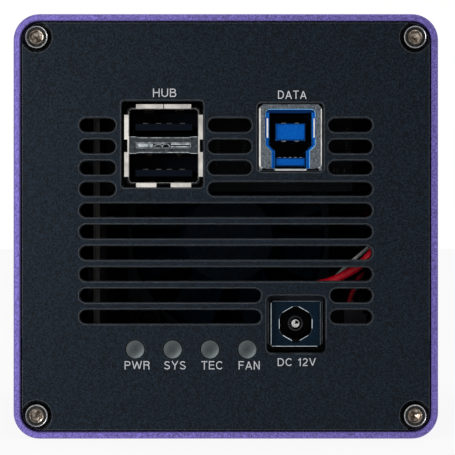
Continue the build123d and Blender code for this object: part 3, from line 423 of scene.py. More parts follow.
def screw_socket():
    """Broached steel in a screw's socket, warm with the oil left in it."""
    finish = Finish("Broached socket", metallic=1.0)
    facets = finish.cells(0.75)
    oil = finish.noise(0.9)
    steel = finish.tones(facets, screen(206, 196, 184), screen(82, 72, 64), 0.15)
    finish.colour(finish.veiled(oil, 0.0, 0.7, steel, screen(104, 88, 76)))
    return finish.rough(oil, 0.18, 0.36).bump(facets, 0.05, 0.6).material


def plated_sheet(name, bright, dull, rough=(0.16, 0.34)):
    """Plated sheet metal, slightly rippled, with fine handling marks."""
    finish = Finish(name, metallic=1.0)
    ripple = finish.noise(1.6, detail=3.0, distortion=0.4)
    scuffs = finish.noise(0.3, detail=4.0, stretch=(1.0, 0.25, 1.0))
    plating = finish.tones(ripple, screen(*dull), screen(*bright))
    finish.colour(finish.veiled(scuffs, 0.0, 0.35, plating, shade(screen(*dull), 0.8)))
    finish.rough(scuffs, *rough).bump(ripple, 0.02, 0.35)
    return finish.bump(scuffs, 0.003, 0.4).material


nickel = partial(plated_sheet, "Nickel plating", (206, 202, 196), (150, 149, 148))
tinned_metal = partial(plated_sheet, "Tin plating", (214, 214, 210), (160, 162, 162), (0.3, 0.5))
gold_contact = partial(plated_sheet, "Contact plating", (134, 124, 112), (58, 52, 46))
bronze = partial(plated_sheet, "Sintered bronze", (170, 124, 74), (118, 84, 50), (0.4, 0.6))
copper_block = partial(plated_sheet, "Machined copper", (214, 138, 102), (170, 98, 70))
bond_metal = partial(plated_sheet, "Bond metal", (222, 190, 122), (176, 146, 88), (0.2, 0.34))
solder = partial(plated_sheet, "Solder", (74, 76, 80), (34, 36, 40), (0.35, 0.55))

# Pale steel on a screw head's rim and bright edges of plated sheet, as painted highlights
screw_rim = partial(
    plated_sheet, "Painted screw rim highlight", (214, 214, 216), (150, 150, 154), (0.24, 0.38)
)
bright_edge = partial(
    plated_sheet, "Painted sheet highlight", (246, 244, 240), (206, 204, 200), (0.5, 0.62)
)

# The hub port's rim, a painted highlight on the thin folded edge at its mouth, and its contacts and
# springs darkened as painted shade
shell_sheet = partial(plated_sheet, "Dull port sheet", (46, 46, 48), (22, 23, 25), (0.4, 0.6))
painted_edge_highlight = partial(plated_sheet, "Painted sheet edge highlight", (150, 150, 148), (84, 85, 86), (0.5, 0.62))
hub_contacts = partial(plated_sheet, "Hub contacts in painted shade", (100, 99, 95), (44, 43, 41))
hub_spring = partial(plated_sheet, "Spring in painted shade", (92, 82, 70), (26, 24, 24), (0.3, 0.5))

# A faint ring of painted highlight on the power jack's collar, and painted highlights on the edges
# of its face from dim to bright
jack_collar_highlight = partial(plated_sheet, "Painted collar highlight", (92, 94, 98), (46, 48, 52), (0.4, 0.6))
jack_dim_edge = partial(plated_sheet, "Dim painted jack highlight", (96, 104, 112), (48, 54, 62), (0.4, 0.5))
jack_gleam = partial(
    plated_sheet, "Painted jack highlight", (150, 158, 166), (96, 104, 112), (0.3, 0.4)
)
jack_lit_edge = partial(
    plated_sheet, "Lit jack edge", (230, 240, 248), (190, 200, 208), (0.5, 0.62)
)


def data_shell_sheet():
    """Grey, slightly etched sheet of the data port's frame."""
    finish = Finish("Etched port sheet", metallic=0.9)
    etch = finish.noise(0.42, detail=3.0, roughness=0.7)
    plating = finish.tones(etch, screen(38, 46, 54), screen(130, 137, 142), 0.32, 0.68)
    finish.colour(finish.veiled(finish.noise(2.4), 0.0, 0.3, plating, screen(80, 87, 92)))
    return finish.surface(etch, 0.34, 0.52, 0.015, 0.6)


def lip_sheet():
    """Bright folded lips of the hub port's shell, with painted shade in its corners and down in its
    sockets.
    """
    finish = Finish("Folded lip sheet", metallic=1.0)
    scuffs = finish.noise(0.5, detail=3.0)
    lips = finish.tones(finish.noise(3.4), screen(174, 170, 166), screen(234, 229, 222), 0.35, 0.65)
    worn = finish.veiled(scuffs, 0.0, 0.25, lips, screen(120, 117, 114))
    # Painted shade in the corners beyond the lips
    corner = finish.maths(
        "MULTIPLY", finish.beyond("X", HUB_X, 5.55, 5.6), finish.beyond("Z", HUB_Z, 6.2, 6.25),
    )
    lips = finish.mixed(corner, worn, screen(24, 26, 30))
    # Painted shade down in the sockets
    finish.colour(finish.mixed(finish.sunk_shade(98.62, 98.3), lips, screen(12, 13, 16)))
    return finish.surface(scuffs, 0.3, 0.45, 0.008, 0.4)


def data_contacts():
    """The data port's contacts, near-black beside its side walls."""
    finish = Finish("Data port contacts", metallic=1.0)
    marks = finish.noise(0.4, detail=3.0)
    plating = finish.tones(marks, screen(130, 132, 136), screen(196, 198, 202))
    beside_wall = finish.beyond("X", DATA_X, 3.3, 3.5)
    finish.colour(finish.mixed(beside_wall, plating, screen(10, 16, 26)))
    return finish.surface(marks, 0.24, 0.4, 0.008, 0.4)


def socket_metal(name, size, dull, bright, sunk_shade, dark, rough):
    """Nickel that is bright at the tip of a pin or the rim of a sleeve, with painted shade further
    in.
    """
    finish = Finish(name, metallic=1.0)
    marks = finish.noise(size, detail=3.0)
    tip = finish.tones(marks, screen(*dull), screen(*bright))
    # Painted shade: darker deeper in the socket
    finish.colour(finish.mixed(finish.sunk_shade(*sunk_shade), tip, screen(*dark)))
    return finish.surface(marks, *rough, 0.01, 0.4)


jack_pin_metal = partial(
    socket_metal, "Pin plating", 0.4, (150, 150, 150), (226, 226, 224), (95.0, 94.2),
    (18, 19, 22), (0.16, 0.3),
)
jack_sleeve_metal = partial(
    socket_metal, "Sleeve plating", 0.5, (120, 124, 128), (196, 198, 200), (96.05, 95.8),
    (8, 9, 12), (0.2, 0.36),
)


def moulded_plastic(name, colour, specular, rough=(0.38, 0.5), grain=0.18):
    """Injection-moulded plastic with a fine spark-eroded grain."""
    finish = Finish(name, specular=specular)
    base = screen(*colour)
    fine = finish.noise(grain, detail=3.0, roughness=0.6)
    flow = finish.noise(4.0, stretch=(1.0, 1.0, 2.5))
    body = finish.shades(fine, base, (0.3, 0.75), (0.7, 1.3))
    streaks = finish.shades(flow, base, (0.35, 0.9), (0.65, 1.12))
    finish.colour(finish.veiled(flow, 0.2, 0.4, body, streaks))
    return finish.surface(fine, *rough, 0.01, 0.5)


dark_plastic = partial(moulded_plastic, "Dark blue plastic", (4, 10, 21), 0.04)
fan_plastic = partial(moulded_plastic, "Fan plastic", (2, 8, 14), 0.04, (0.3, 0.42))
pale_nylon = partial(moulded_plastic, "Grey nylon", (48, 46, 54), 0.1)
magnet_rubber = partial(moulded_plastic, "Bonded ferrite", (46, 40, 38), 0.3, (0.6, 0.75), 0.1)
black_rubber = partial(moulded_plastic, "Black rubber", (22, 22, 24), 0.25, (0.6, 0.78), 0.12)
dark_ceramic = partial(moulded_plastic, "Dark ceramic", (58, 50, 48), 0.35, (0.4, 0.55), 0.1)
chip_resin = partial(moulded_plastic, "Chip resin", (15, 15, 17), 0.1, (0.5, 0.65), 0.08)
capacitor_body = partial(
    moulded_plastic, "Capacitor ceramic", (30, 24, 19), 0.08, (0.45, 0.6), 0.1
)

# The data port's bevels in painted light and shade, the power jack's skirt, and a near-black plastic
# that also serves as painted shade in gaps, slits and sockets
lit_blue_plastic = partial(moulded_plastic, "Lit blue plastic", (150, 204, 244), 0.1)
shaded_blue_plastic = partial(moulded_plastic, "Shaded blue plastic", (2, 34, 78), 0.05)
jack_skirt = partial(moulded_plastic, "Jack skirt plastic", (30, 36, 44), 0.06)
port_shadow = partial(moulded_plastic, "Black plastic and painted shade", (3, 4, 7), 0.04, (0.6, 0.8))


def fan_blades():
    """Polished blades of the fan, which catch the light on their edges."""
    finish = Finish("Fan blade plastic", specular=0.035)
    flow = finish.noise(3.0, detail=3.0, distortion=0.5)
    finish.mottled(screen(2, 11, 20), flow, 0.4)
    return finish.surface(flow, 0.2, 0.34, 0.02, 0.3)


def blue_plastic():
    """Blue plastic, with painted shade down in the socket and a painted highlight on its edges."""
    finish = Finish("Blue plastic", specular=0.05)
    fine = finish.noise(0.2, detail=3.0, roughness=0.6)
    body = finish.shades(fine, light(colours().data_liner), (0.3, 0.72), (0.7, 1.25))
    # Painted shade down in the socket
    deep_shade = finish.mixed(finish.sunk_shade(97.6, 96.6), body, screen(1, 2, 6))
    # Painted highlight: pale blue on its edges
    finish.colour(finish.mixed(finish.edges(0.16), deep_shade, screen(40, 128, 204)))
    return finish.surface(fine, 0.38, 0.5, 0.01, 0.5)


def gloss_black_plastic():
    """Glossy, slightly speckled plastic of the power jack, with painted shade down in its mouth."""
    finish = Finish("Gloss plastic", specular=0.04)
    speckle = finish.noise(0.3, detail=3.0, roughness=0.7)
    face = finish.shades(speckle, light(colours().jack), (0.3, 0.5), (0.7, 1.7))
    tinted = finish.veiled(finish.noise(3.0), 0.0, 0.5, face, screen(4, 30, 48))
    # Painted shade down in the mouth
    finish.colour(finish.mixed(finish.sunk_shade(96.3, 95.3), tinted, screen(1, 2, 4)))
    return finish.surface(speckle, 0.22, 0.36, 0.008, 0.4)


def clear_plastic():
    """Hazy acrylic light pipe over a dark board."""
    finish = Finish("Hazy acrylic", specular=0.3)
    haze = finish.noise(0.7, detail=3.0)
    finish.colour(finish.tones(haze, screen(26, 32, 38), screen(54, 62, 68)))
    finish.set(Transmission_Weight=0.15, IOR=1.49, Coat_Weight=0.15, Coat_Roughness=0.2)
    return finish.surface(haze, 0.12, 0.3, 0.02, 0.4)


def pipe_gleam():
    """Acrylic light pipe, bright as a painted highlight on its edges and in its window."""
    finish = Finish("Painted acrylic highlight", specular=0.4)
    gleam = finish.noise(0.8)
    finish.colour(finish.tones(gleam, screen(96, 104, 110), screen(188, 194, 198), 0.35, 0.65))
    return finish.surface(gleam, 0.15, 0.3, 0.01, 0.3)


def frosted_plastic():
    """Frosted, smoke-tinted lamp ends, with painted dome shading that is dark in the middle and
    paler towards the rim, and a painted highlight in a crescent towards the lower right.
    """
    finish = Finish("Frosted acrylic", specular=0.06)
    lamps = light(colours().lamps)
    frost = finish.noise(0.22, detail=3.0, roughness=0.7)
    inner = finish.spread(finish.from_lamps(), 0.0, 1.0, 0.1 * MM, 1.5 * MM)
    # Painted dome shading: dark in the middle and paler towards the rim
    body = finish.shades(
        inner, lamps, (0.0, 0.2), (0.14, 0.9), (0.24, 0.55), (0.75, 1.1), (1.0, 1.9)
    )
    # Painted highlight: a crescent, brightest towards the lower right of each lamp
    right, _, up = finish.axes()
    half = LAMP_PITCH / 2 * MM
    across = finish.maths("SUBTRACT", right, (LAMP_X - LAMP_PITCH / 2) * MM)
    across = finish.maths("WRAP", across, half, -half)
    rise = finish.maths("SUBTRACT", up, LAMP_Z * MM)
    slant = finish.spread(finish.maths("SUBTRACT", across, rise), 0.0, 1.0, -2.2 * MM, 2.2 * MM)
    painted_crescent = finish.shades(slant, lamps, (0.0, 0.9), (0.5, 0.7), (0.75, 1.5), (1.0, 4.2))
    painted_dome = finish.mixed(finish.spread(inner, 0.25, 0.75, 0.2, 0.8), body, painted_crescent)
    grain = finish.shades(frost, lamps, (0.3, 0.5), (0.7, 1.1))
    finish.colour(finish.veiled(frost, 0.1, 0.3, painted_dome, grain))
    return finish.surface(frost, 0.34, 0.55, 0.015, 0.6)


def led_resin():
    """Pale, slightly milky resin of the lamps, with flecks in it."""
    finish = Finish("Clear resin")
    flecks = finish.cells(0.3)
    finish.mottled(screen(206, 204, 176), flecks, 0.15, 0.1, 0.8)
    finish.set(Subsurface_Weight=0.2, Subsurface_Radius=(0.0004, 0.0004, 0.0003))
    return finish.rough(flecks, 0.2, 0.4, 0.1, 0.8).bump(flecks, 0.01, 0.5).material


def board_resist():
    """Solder resist over copper tracks, which show as low ridges."""
    finish = Finish("Solder resist", specular=0.08)
    boards = light(colours().boards)
    tracks = finish.node("ShaderNodeTexBrick", {
        "Scale": 260.0, "Mortar Size": 0.045, "Mortar Smooth": 0.3,
        "Vector": finish.stretched((1.0, 1.0, 1.0), (math.pi / 2, 0.0, 0.0)),
    }, offset=0.37, squash=1.6).outputs["Fac"]
    weave = finish.noise(0.35, stretch=(1.0, 1.0, 1.6))
    resist = finish.shades(weave, boards, (0.3, 0.8), (0.7, 1.3))
    finish.colour(finish.mixed(tracks, resist, shade(boards, 2.4)))
    finish.rough(weave, 0.3, 0.45).bump(tracks, 0.03, 0.7)
    return finish.bump(weave, 0.006, 0.4).material


def board_edge():
    """A board seen on its routed edge: resist, glass cloth and copper layers."""
    finish = Finish("Routed board edge", specular=0.3)
    layers = finish.lines(0.4, "X", 0.6)
    fibres = finish.noise(0.12, detail=4.0, stretch=(3.0, 1.0, 0.3))
    cloth = finish.tones(fibres, screen(46, 44, 42), screen(78, 76, 72))
    finish.colour(finish.veiled(layers, 0.1, 0.8, cloth, screen(36, 34, 34)))
    return finish.surface(fibres, 0.55, 0.75, 0.02, 0.6)


def ground_steel():
    """Steel with fine marks along it from grinding."""
    finish = Finish("Ground steel", metallic=1.0)
    marks = finish.noise(0.12, detail=4.0, stretch=(1.0, 0.2, 1.0))
    finish.mottled(screen(150, 152, 155), marks, 0.18)
    return finish.surface(marks, 0.22, 0.38, 0.004, 0.4)


def core_steel():
    """Stacked laminations of electrical steel."""
    finish = Finish("Laminated steel", metallic=0.9)
    stains = finish.noise(1.5, detail=3.0)
    finish.mottled(screen(120, 122, 126), stains)
    return finish.rough(stains, 0.35, 0.5).bump(finish.lines(0.5, "Y"), 0.05, 0.6).material


def copper_wire():
    """Close turns of enamelled wire."""
    finish = Finish("Enamelled copper", metallic=0.9)
    turns = finish.lines(0.18, "Y", 0.3)
    shine = finish.noise(0.8)
    copper = finish.tones(shine, screen(168, 92, 52), screen(206, 128, 76))
    finish.colour(finish.veiled(turns, 0.0, 0.8, copper, screen(88, 42, 26)))
    return finish.rough(shine, 0.22, 0.36).bump(turns, 0.06, 0.9).material


def sink_aluminium():
    """Extruded and black-anodised aluminium, with marks along the fins."""
    finish = Finish("Anodised fins", metallic=0.7, specular=0.1)
    drawn = finish.noise(0.3, detail=4.0, stretch=(1.0, 0.06, 1.0))
    fins = finish.tones(drawn, screen(8, 10, 13), screen(16, 19, 23))
    finish.colour(finish.veiled(finish.noise(7.0), 0.0, 0.35, fins, screen(12, 14, 17)))
    return finish.surface(drawn, 0.42, 0.6, 0.01, 0.5)


def white_ceramic():
    """Matt white ceramic with a fine grain."""
    finish = Finish("Alumina ceramic", specular=0.4)
    grains = finish.noise(0.14, detail=4.0, roughness=0.7)
    finish.mottled(screen(226, 224, 216), grains, 0.06)
    finish.set(Subsurface_Weight=0.1, Subsurface_Radius=(0.0006, 0.0005, 0.0004))
    return finish.surface(grains, 0.45, 0.65, 0.008, 0.5)


def pellet_alloy():
    """Grey crystals of the cooler's pellets."""
    finish = Finish("Thermoelectric alloy", metallic=0.7)
    crystals = finish.cells(0.35)
    finish.mottled(screen(96, 94, 98), crystals, 0.3, 0.1, 0.8)
    return finish.rough(crystals, 0.3, 0.6, 0.1, 0.8).bump(crystals, 0.02, 0.5).material


def silicon():
    """The image sensor: a fine grid of cells under a colour-shifting passivation."""
    finish = Finish("Sensor silicon", metallic=0.6)
    tint = finish.ramp(finish.noise(9.0, detail=1.0), (
        (0.3, screen(58, 44, 84)), (0.5, screen(44, 62, 92)), (0.7, screen(46, 84, 78)),
    ))
    columns = finish.lines(0.09, "X")
    rows = finish.lines(0.09, "Z")
    finish.colour(finish.veiled(columns, 0.0, 0.35, tint, screen(24, 26, 36)))
    finish.set(Coat_Weight=0.6, Coat_Roughness=0.05)
    finish.rough(rows, 0.08, 0.2).bump(rows, 0.002, 0.4)
    return finish.bump(columns, 0.002, 0.4).material


def coated_glass():
    """Optical glass with a faint green-violet coating and a little dust."""
    finish = Finish("Coated glass")
    dust = finish.noise(0.5, detail=5.0, roughness=0.8)
    coating = finish.noise(16.0, detail=1.0)
    finish.colour(finish.tones(coating, screen(232, 246, 240), screen(240, 236, 250)))
    finish.set(Transmission_Weight=1.0, IOR=1.46)
    return finish.rough(dust, 0.0, 0.02, 0.6, 0.85).bump(dust, 0.0005, 0.1).material


def ribbon_film():
    """Black film over parallel copper tracks, which show as low ridges."""
    finish = Finish("Ribbon film", specular=0.1)
    tracks = finish.lines(0.5, "Z")
    film = finish.noise(3.0)
    black = finish.tones(film, screen(6, 6, 8), screen(12, 12, 14))
    finish.colour(finish.veiled(tracks, 0.0, 1.0, black, screen(20, 19, 20)))
    return finish.rough(film, 0.2, 0.32).bump(tracks, 0.02, 0.6).material


def insulation(name, colour, specular=0.3):
    """Soft wire insulation with a slight bloom."""
    finish = Finish(name, specular=specular)
    bloom = finish.noise(0.9, detail=3.0)
    finish.mottled(colour, bloom, 0.16)
    finish.set(Subsurface_Weight=0.05, Subsurface_Radius=(0.0006, 0.0003, 0.0003))
    return finish.rough(bloom, 0.3, 0.46).bump(finish.noise(0.12), 0.006, 0.4).material


black_insulation = partial(insulation, "Black insulation", screen(7, 8, 10), 0.08)
white_insulation = partial(insulation, "White insulation", screen(150, 152, 152))


def red_insulation():
    return insulation("Red insulation", light(colours().red_lead))


def legend_ink():
    """Laser-marked lettering, slightly grainy."""
    finish = Finish("Legend marking", specular=0.2)
    grain = finish.noise(0.12)
    finish.mottled(light(colours().legends), grain, 0.1)
    return finish.surface(grain, 0.5, 0.7, 0.006, 0.5)


# The finish of each material slot
FINISHES = {
    "purple_anodised": purple_anodising,
    "black_anodised": black_anodising,
    "screw_steel": screw_steel,
    "nickel": nickel,
    "dark_plastic": dark_plastic,
    "gold_contact": gold_contact,
    "clear_plastic": clear_plastic,
    "blue_plastic": blue_plastic,
    "gloss_black_plastic": gloss_black_plastic,
    "frosted_plastic": frosted_plastic,
    "led_resin": led_resin,
    "black_board": board_resist,
    "board_edge": board_edge,
    "fan_plastic": fan_plastic,
    "bronze": bronze,
    "ground_steel": ground_steel,
    "magnet_rubber": magnet_rubber,
    "core_steel": core_steel,
    "copper_wire": copper_wire,
    "sink_aluminium": sink_aluminium,
    "white_ceramic": white_ceramic,
    "pellet_alloy": pellet_alloy,
    "copper_block": copper_block,
    "black_rubber": black_rubber,
    "dark_ceramic": dark_ceramic,
    "silicon": silicon,
    "coated_glass": coated_glass,
    "ribbon_film": ribbon_film,
    "tinned_metal": tinned_metal,
    "red_insulation": red_insulation,
    "black_insulation": black_insulation,
    "white_insulation": white_insulation,
    "pale_nylon": pale_nylon,
}

# Nodes whose own finish differs from the rest of their slot
NODE_FINISHES = {
    "fan_screws": black_screw,
    "board_screws": black_screw,
    "rear_plate": rear_panel,
    "data_port_shell": data_shell_sheet,
    "hub_port_shell": lip_sheet,
    "hub_port_contacts": hub_contacts,
    "data_port_contacts": data_contacts,
    "fan_rotor": fan_blades,
    "power_jack_pin": jack_pin_metal,
    "power_jack_sleeve": jack_sleeve_metal,
}

made_finishes = {}


def finish_of(maker):
    """The material that maker builds, made once."""
    if maker not in made_finishes:
        made_finishes[maker] = maker()
    return made_finishes[maker]


# ------------------------------------------------------------------ small parts


def spot(x, depth, z):
    """A point in metres, from millimetres right, back from the mouth, and up."""
    return Vector((x * MM, -depth * MM, z * MM))


def rear_of(node):
    """How deep a node's rear face is, in millimetres."""
    return -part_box(node)[0].y / MM


def centre_of(node):
    """The middle of a node across and up, in millimetres."""
    low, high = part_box(node)
    return (low.x + high.x) / 2 / MM, (low.z + high.z) / 2 / MM


def add_piece(name, mesh, makers, slot, bevel=0.0, body="camera"):
    """Turns a bmesh into a piece that rides on a body. Faces pick from makers by index."""
    bmesh.ops.remove_doubles(mesh, verts=mesh.verts, dist=1e-7)
    bmesh.ops.recalc_face_normals(mesh, faces=mesh.faces)
    data = bpy.data.meshes.new(name)
    mesh.to_mesh(data)
    mesh.free()
    for maker in makers if isinstance(makers, tuple) else (makers,):
        data.materials.append(finish_of(maker))
    piece = bpy.data.objects.new(name, data)
    bpy.context.scene.collection.objects.link(piece)
    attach(piece, body)
    if bevel:
        rounding = piece.modifiers.new("Rounded edges", "BEVEL")
        rounding.width = bevel * MM
        rounding.segments = 2
        rounding.limit_method = "ANGLE"
        rounding.angle_limit = math.radians(BEVEL_ANGLE)
    return piece


def add_pieces(*rows):
    """Adds pieces from rows: a name, the function that fills its mesh, and add_piece's rest."""
    for name, draw, *rest in rows:
        mesh = bmesh.new()
        draw(mesh)
        add_piece(name, mesh, *rest)


def vertices(mesh, points):
    """A ring of new vertices, one at each point."""
    return [mesh.verts.new(point) for point in points]


def join(mesh, here, there):
    """The faces that join two rings of vertices."""
    count = len(here)
    return [
        mesh.faces.new((here[i], here[(i + 1) % count], there[(i + 1) % count], there[i]))
        for i in range(count)
    ]


def skin(mesh, rings, closed=False):
    """Joins rings of vertices in their order, into a loop or with a cap at each end."""
    for here, there in zip(rings, rings[1:] + rings[:1] if closed else rings[1:]):
        join(mesh, here, there)
    if not closed:
        mesh.faces.new(rings[0])
        mesh.faces.new(list(reversed(rings[-1])))


def prism(mesh, outline, near, far):
    """A solid with an outline of (x, z) millimetres, from one depth to another."""
    skin(mesh, [vertices(mesh, [spot(x, depth, z) for x, z in outline]) for depth in (near, far)])


def box_outline(x0, x1, z0, z1, corner=0.0):
    """A rectangle, with its corners cut by corner."""
    if not corner:
        return [(x0, z0), (x1, z0), (x1, z1), (x0, z1)]
    return [
        (x0 + corner, z0), (x1 - corner, z0), (x1, z0 + corner), (x1, z1 - corner),
        (x1 - corner, z1), (x0 + corner, z1), (x0, z1 - corner), (x0, z0 + corner),
    ]


def arc(centre, radii, start, end, steps=8):
    """Points on an ellipse's arc, with angles in degrees."""
    points = []
    for i in range(steps + 1):
        angle = math.radians(start + (end - start) * i / steps)
        points.append((
            centre[0] + radii[0] * math.cos(angle), centre[1] + radii[1] * math.sin(angle),
        ))
    return points


def band_sides(points, width, closed):
    """The two sides of a band of that width along points."""
    left, right = [], []
    count = len(points)
    for i, point in enumerate(points):
        here = Vector(point)
        along = []
        if i or closed:
            along.append((here - Vector(points[i - 1])).normalized())
        if i < count - 1 or closed:
            along.append((Vector(points[(i + 1) % count]) - here).normalized())
        mean = sum(along, Vector((0.0, 0.0))).normalized()
        across = Vector((-mean.y, mean.x))
        reach = width / 2 / max(abs(across.dot(Vector((-along[0].y, along[0].x)))), 0.5)
        left.append(here + across * reach)
        right.append(here - across * reach)
    return left, right


def band(mesh, points, width, near, far, closed=False):
    """A flat strip along points of (x, z), from one depth to another."""
    skin(mesh, [
        vertices(mesh, (spot(a.x, near, a.y), spot(b.x, near, b.y),
                        spot(b.x, far, b.y), spot(a.x, far, a.y)))
        for a, b in zip(*band_sides(points, width, closed))
    ], closed)


def sheet_along(mesh, path, half_width, thickness):
    """A bent strip along path: all in metres, and half_width is a vector across the strip."""
    rings = []
    for i, point in enumerate(path):
        along = path[min(i + 1, len(path) - 1)] - path[max(i - 1, 0)]
        out = along.normalized().cross(half_width).normalized() * thickness / 2
        rings.append(vertices(mesh, (
            point + half_width + out, point - half_width + out,
            point - half_width - out, point + half_width - out,
        )))
    skin(mesh, rings)


def leaf(mesh, x, width, route, thickness):
    """A bent leaf of that width along route, which is (depth, z) pairs; thickness is in metres."""
    path = [spot(x, depth, z) for depth, z in route]
    sheet_along(mesh, path, Vector((width / 2 * MM, 0.0, 0.0)), thickness)


def strip(mesh, x0, x1, z0, z1, near, far, corner=0.03):
    """A thin plate with its corners cut."""
    prism(mesh, box_outline(x0, x1, z0, z1, corner), near, far)


def round_rectangle(x0, x1, z0, z1, corner, steps):
    """A closed path round a rectangle with round corners."""
    points = []
    for x, z, start in (
        (x1 - corner, z1 - corner, 0), (x0 + corner, z1 - corner, 90),
        (x0 + corner, z0 + corner, 180), (x1 - corner, z0 + corner, 270),
    ):
        points += arc((x, z), (corner, corner), start, start + 90, steps)
    return points


def turned(mesh, centre, profile, steps=48):
    """A ring round a Y axis through centre (x, z); profile is (radius, depth) pairs."""
    rings = []
    for i in range(steps):
        angle = 2 * math.pi * i / steps
        x, z = math.cos(angle), math.sin(angle)
        rings.append(vertices(mesh, [
            spot(centre[0] + radius * x, depth, centre[1] + radius * z) for radius, depth in profile
        ]))
    skin(mesh, rings, closed=True)


# ------------------------------------------------------------------ lettering

REAR_FACE = 99.0
INK_SINK = 0.01
INK_LAYER = 0.002
LETTER_GAP = 0.18
SHARP_TURN = math.radians(75)

# Half a stroke's width in cap heights. A stroke's points run down its own middle.
HALF = 0.072


def stem(x=HALF):
    """An upright stroke."""
    return [(x, 0.0), (x, 1.0)]


def bar(z, end):
    """A level stroke from the right of a letter's stem."""
    return [(HALF * 2, z), (end, z)]


def bowl(centre, radii, high, low, turn=80, steps=8):
    """A round stroke that leaves a letter's stem at one height and comes back at another."""
    lead = centre[0] - 0.02
    return bar(high, lead) + arc(centre, radii, turn, -turn, steps) + bar(low, lead)[::-1]


def letters():
    """Widths and strokes of the capitals and figures that the camera carries, in cap heights."""
    h = HALF
    top = 1.0 - h
    return {
        "A": (0.90, [[(h * 0.9, 0.0), (0.45, top)], [(0.45, top), (0.90 - h * 0.9, 0.0)],
                     [(0.19, 0.30), (0.71, 0.30)]]),
        "B": (0.76, [stem(), bowl((0.42, 0.755), (0.21, top - 0.755), top, 0.54),
                     bowl((0.44, 0.305), (0.25, 0.235), 0.54, h)[1:]]),
        "C": (0.90, [arc((0.46, 0.5), (0.46 - h, 0.5 - h), 40, 320, 20)]),
        "D": (0.83, [stem(), bowl((0.36, 0.5), (0.47 - h, 0.5 - h), top, h, 85, 14)]),
        "E": (0.72, [stem(), bar(top, 0.70), bar(0.53, 0.66), bar(h, 0.72)]),
        "F": (0.68, [stem(), bar(top, 0.68), bar(0.52, 0.62)]),
        "H": (0.79, [stem(), stem(0.79 - h), bar(0.53, 0.79 - h * 2)]),
        "N": (0.78, [stem(), stem(0.78 - h), [(h * 1.6, top), (0.78 - h * 1.6, h)]]),
        "P": (0.74, [stem(), bowl((0.46, 0.71), (0.28 - h, top - 0.71), top, 0.71 * 2 - top)]),
        "R": (0.82, [stem(), bowl((0.48, 0.735), (0.29 - h, top - 0.735), top, 0.735 * 2 - top),
                     [(0.52, 0.50), (0.64, 0.44), (0.68, 0.30), (0.69, 0.08), (0.73, 0.0)]]),
        "S": (0.78, [arc((0.39, 0.735), (0.31 - h * 0.4, 0.265 - h), 20, 255, 14)
                     + arc((0.39, 0.275), (0.36 - h * 0.6, 0.275 - h), 70, -165, 14)]),
        "T": (0.76, [[(0.0, top), (0.76, top)], [(0.38, 0.0), (0.38, 1.0 - h * 2)]]),
        "U": (0.79, [[(h, 1.0), (h, 0.34)] + arc((0.395, 0.34), (0.395 - h, 0.34 - h), 190, 350, 12)
                     + [(0.79 - h, 0.34), (0.79 - h, 1.0)]]),
        "V": (0.87, [[(h * 0.9, 1.0), (0.435, h)], [(0.435, h), (0.87 - h * 0.9, 1.0)]]),
        "W": (1.28, [[(h, 1.0), (0.33, h)], [(0.33, h), (0.64, top)],
                     [(0.64, top), (0.95, h)], [(0.95, h), (1.28 - h, 1.0)]]),
        "Y": (0.87, [[(h * 0.9, 1.0), (0.435, 0.42)], [(0.435, 0.42), (0.87 - h * 0.9, 1.0)],
                     [(0.435, 0.0), (0.435, 0.38)]]),
        "1": (0.42, [[(0.04, 0.74), (0.20, 0.80), (0.29, 0.94)], stem(0.30)]),
        "2": (0.66, [arc((0.33, 0.72), (0.33 - h, 0.28 - h), 165, -20, 12)
                     + [(0.46, 0.45), (0.18, 0.26), (0.09, h)], [(0.02, h), (0.65, h)]]),
        " ": (0.34, []),
    }


def runs(points):
    """A stroke's points, parted where it turns back sharply."""
    parts = [[points[0]]]
    for before, here, after in zip(points, points[1:], points[2:]):
        parts[-1].append(here)
        if (Vector(here) - Vector(before)).angle(Vector(after) - Vector(here)) > SHARP_TURN:
            parts.append([here])
    parts[-1].append(points[-1])
    return parts


def write(mesh, text, left, right, low, high):
    """Adds a line of lettering that fills the space between left and right."""
    alphabet = letters()
    total = sum(alphabet[c][0] for c in text) + LETTER_GAP * (len(text) - 1)
    stretch = (right - left) / total
    cursor = 0.0
    for character in text:
        width, strokes = alphabet[character]
        layer = REAR_FACE + sizes().ink_rise / MM
        for stroke in strokes:
            points = [(left + (cursor + x) * stretch, low + z * (high - low)) for x, z in stroke]
            for run in runs(points):
                band(mesh, run, sizes().ink_stroke / MM, REAR_FACE - INK_SINK, layer)
                layer += INK_LAYER
        cursor += width + LETTER_GAP


LEGENDS = (
    ("legend_hub", "HUB", (-13.76, -9.32, 24.40, 26.00)),
    ("legend_data", "DATA", (9.84, 15.24, 24.05, 25.65)),
    ("legend_power_lamp", "PWR", (-19.10, -14.30, -27.00, -25.40)),
    ("legend_system_lamp", "SYS", (-11.66, -7.55, -27.00, -25.40)),
    ("legend_cooler_lamp", "TEC", (-4.62, -0.51, -27.00, -25.40)),
    ("legend_fan_lamp", "FAN", (2.41, 6.40, -27.00, -25.40)),
    ("legend_supply", "DC 12V", (9.77, 17.00, -26.35, -24.85)),
)


# ------------------------------------------------------------------ screws

SCREW_STEPS = 48
HEAD_RADIUS, HEAD_HEIGHT = 2.25, 2.5
KNURL_DEPTH = 0.05
# A corner screw's rings from its head's base over the rim to the socket: radius, depth below
# the top of the head, and the finish of the face that follows (0 dark, 1 rim, 2 socket)
HEAD_RINGS = (
    (HEAD_RADIUS, HEAD_HEIGHT, 0), (HEAD_RADIUS, 0.48, 0), (2.20, 0.26, 0), (2.10, 0.08, 1),
    (2.02, 0.00, 1), (1.94, 0.03, 0), (1.88, 0.12, 0), (1.33, 0.12, 2), (1.29, 0.09, 2),
    (1.25, 0.10, 2),
)
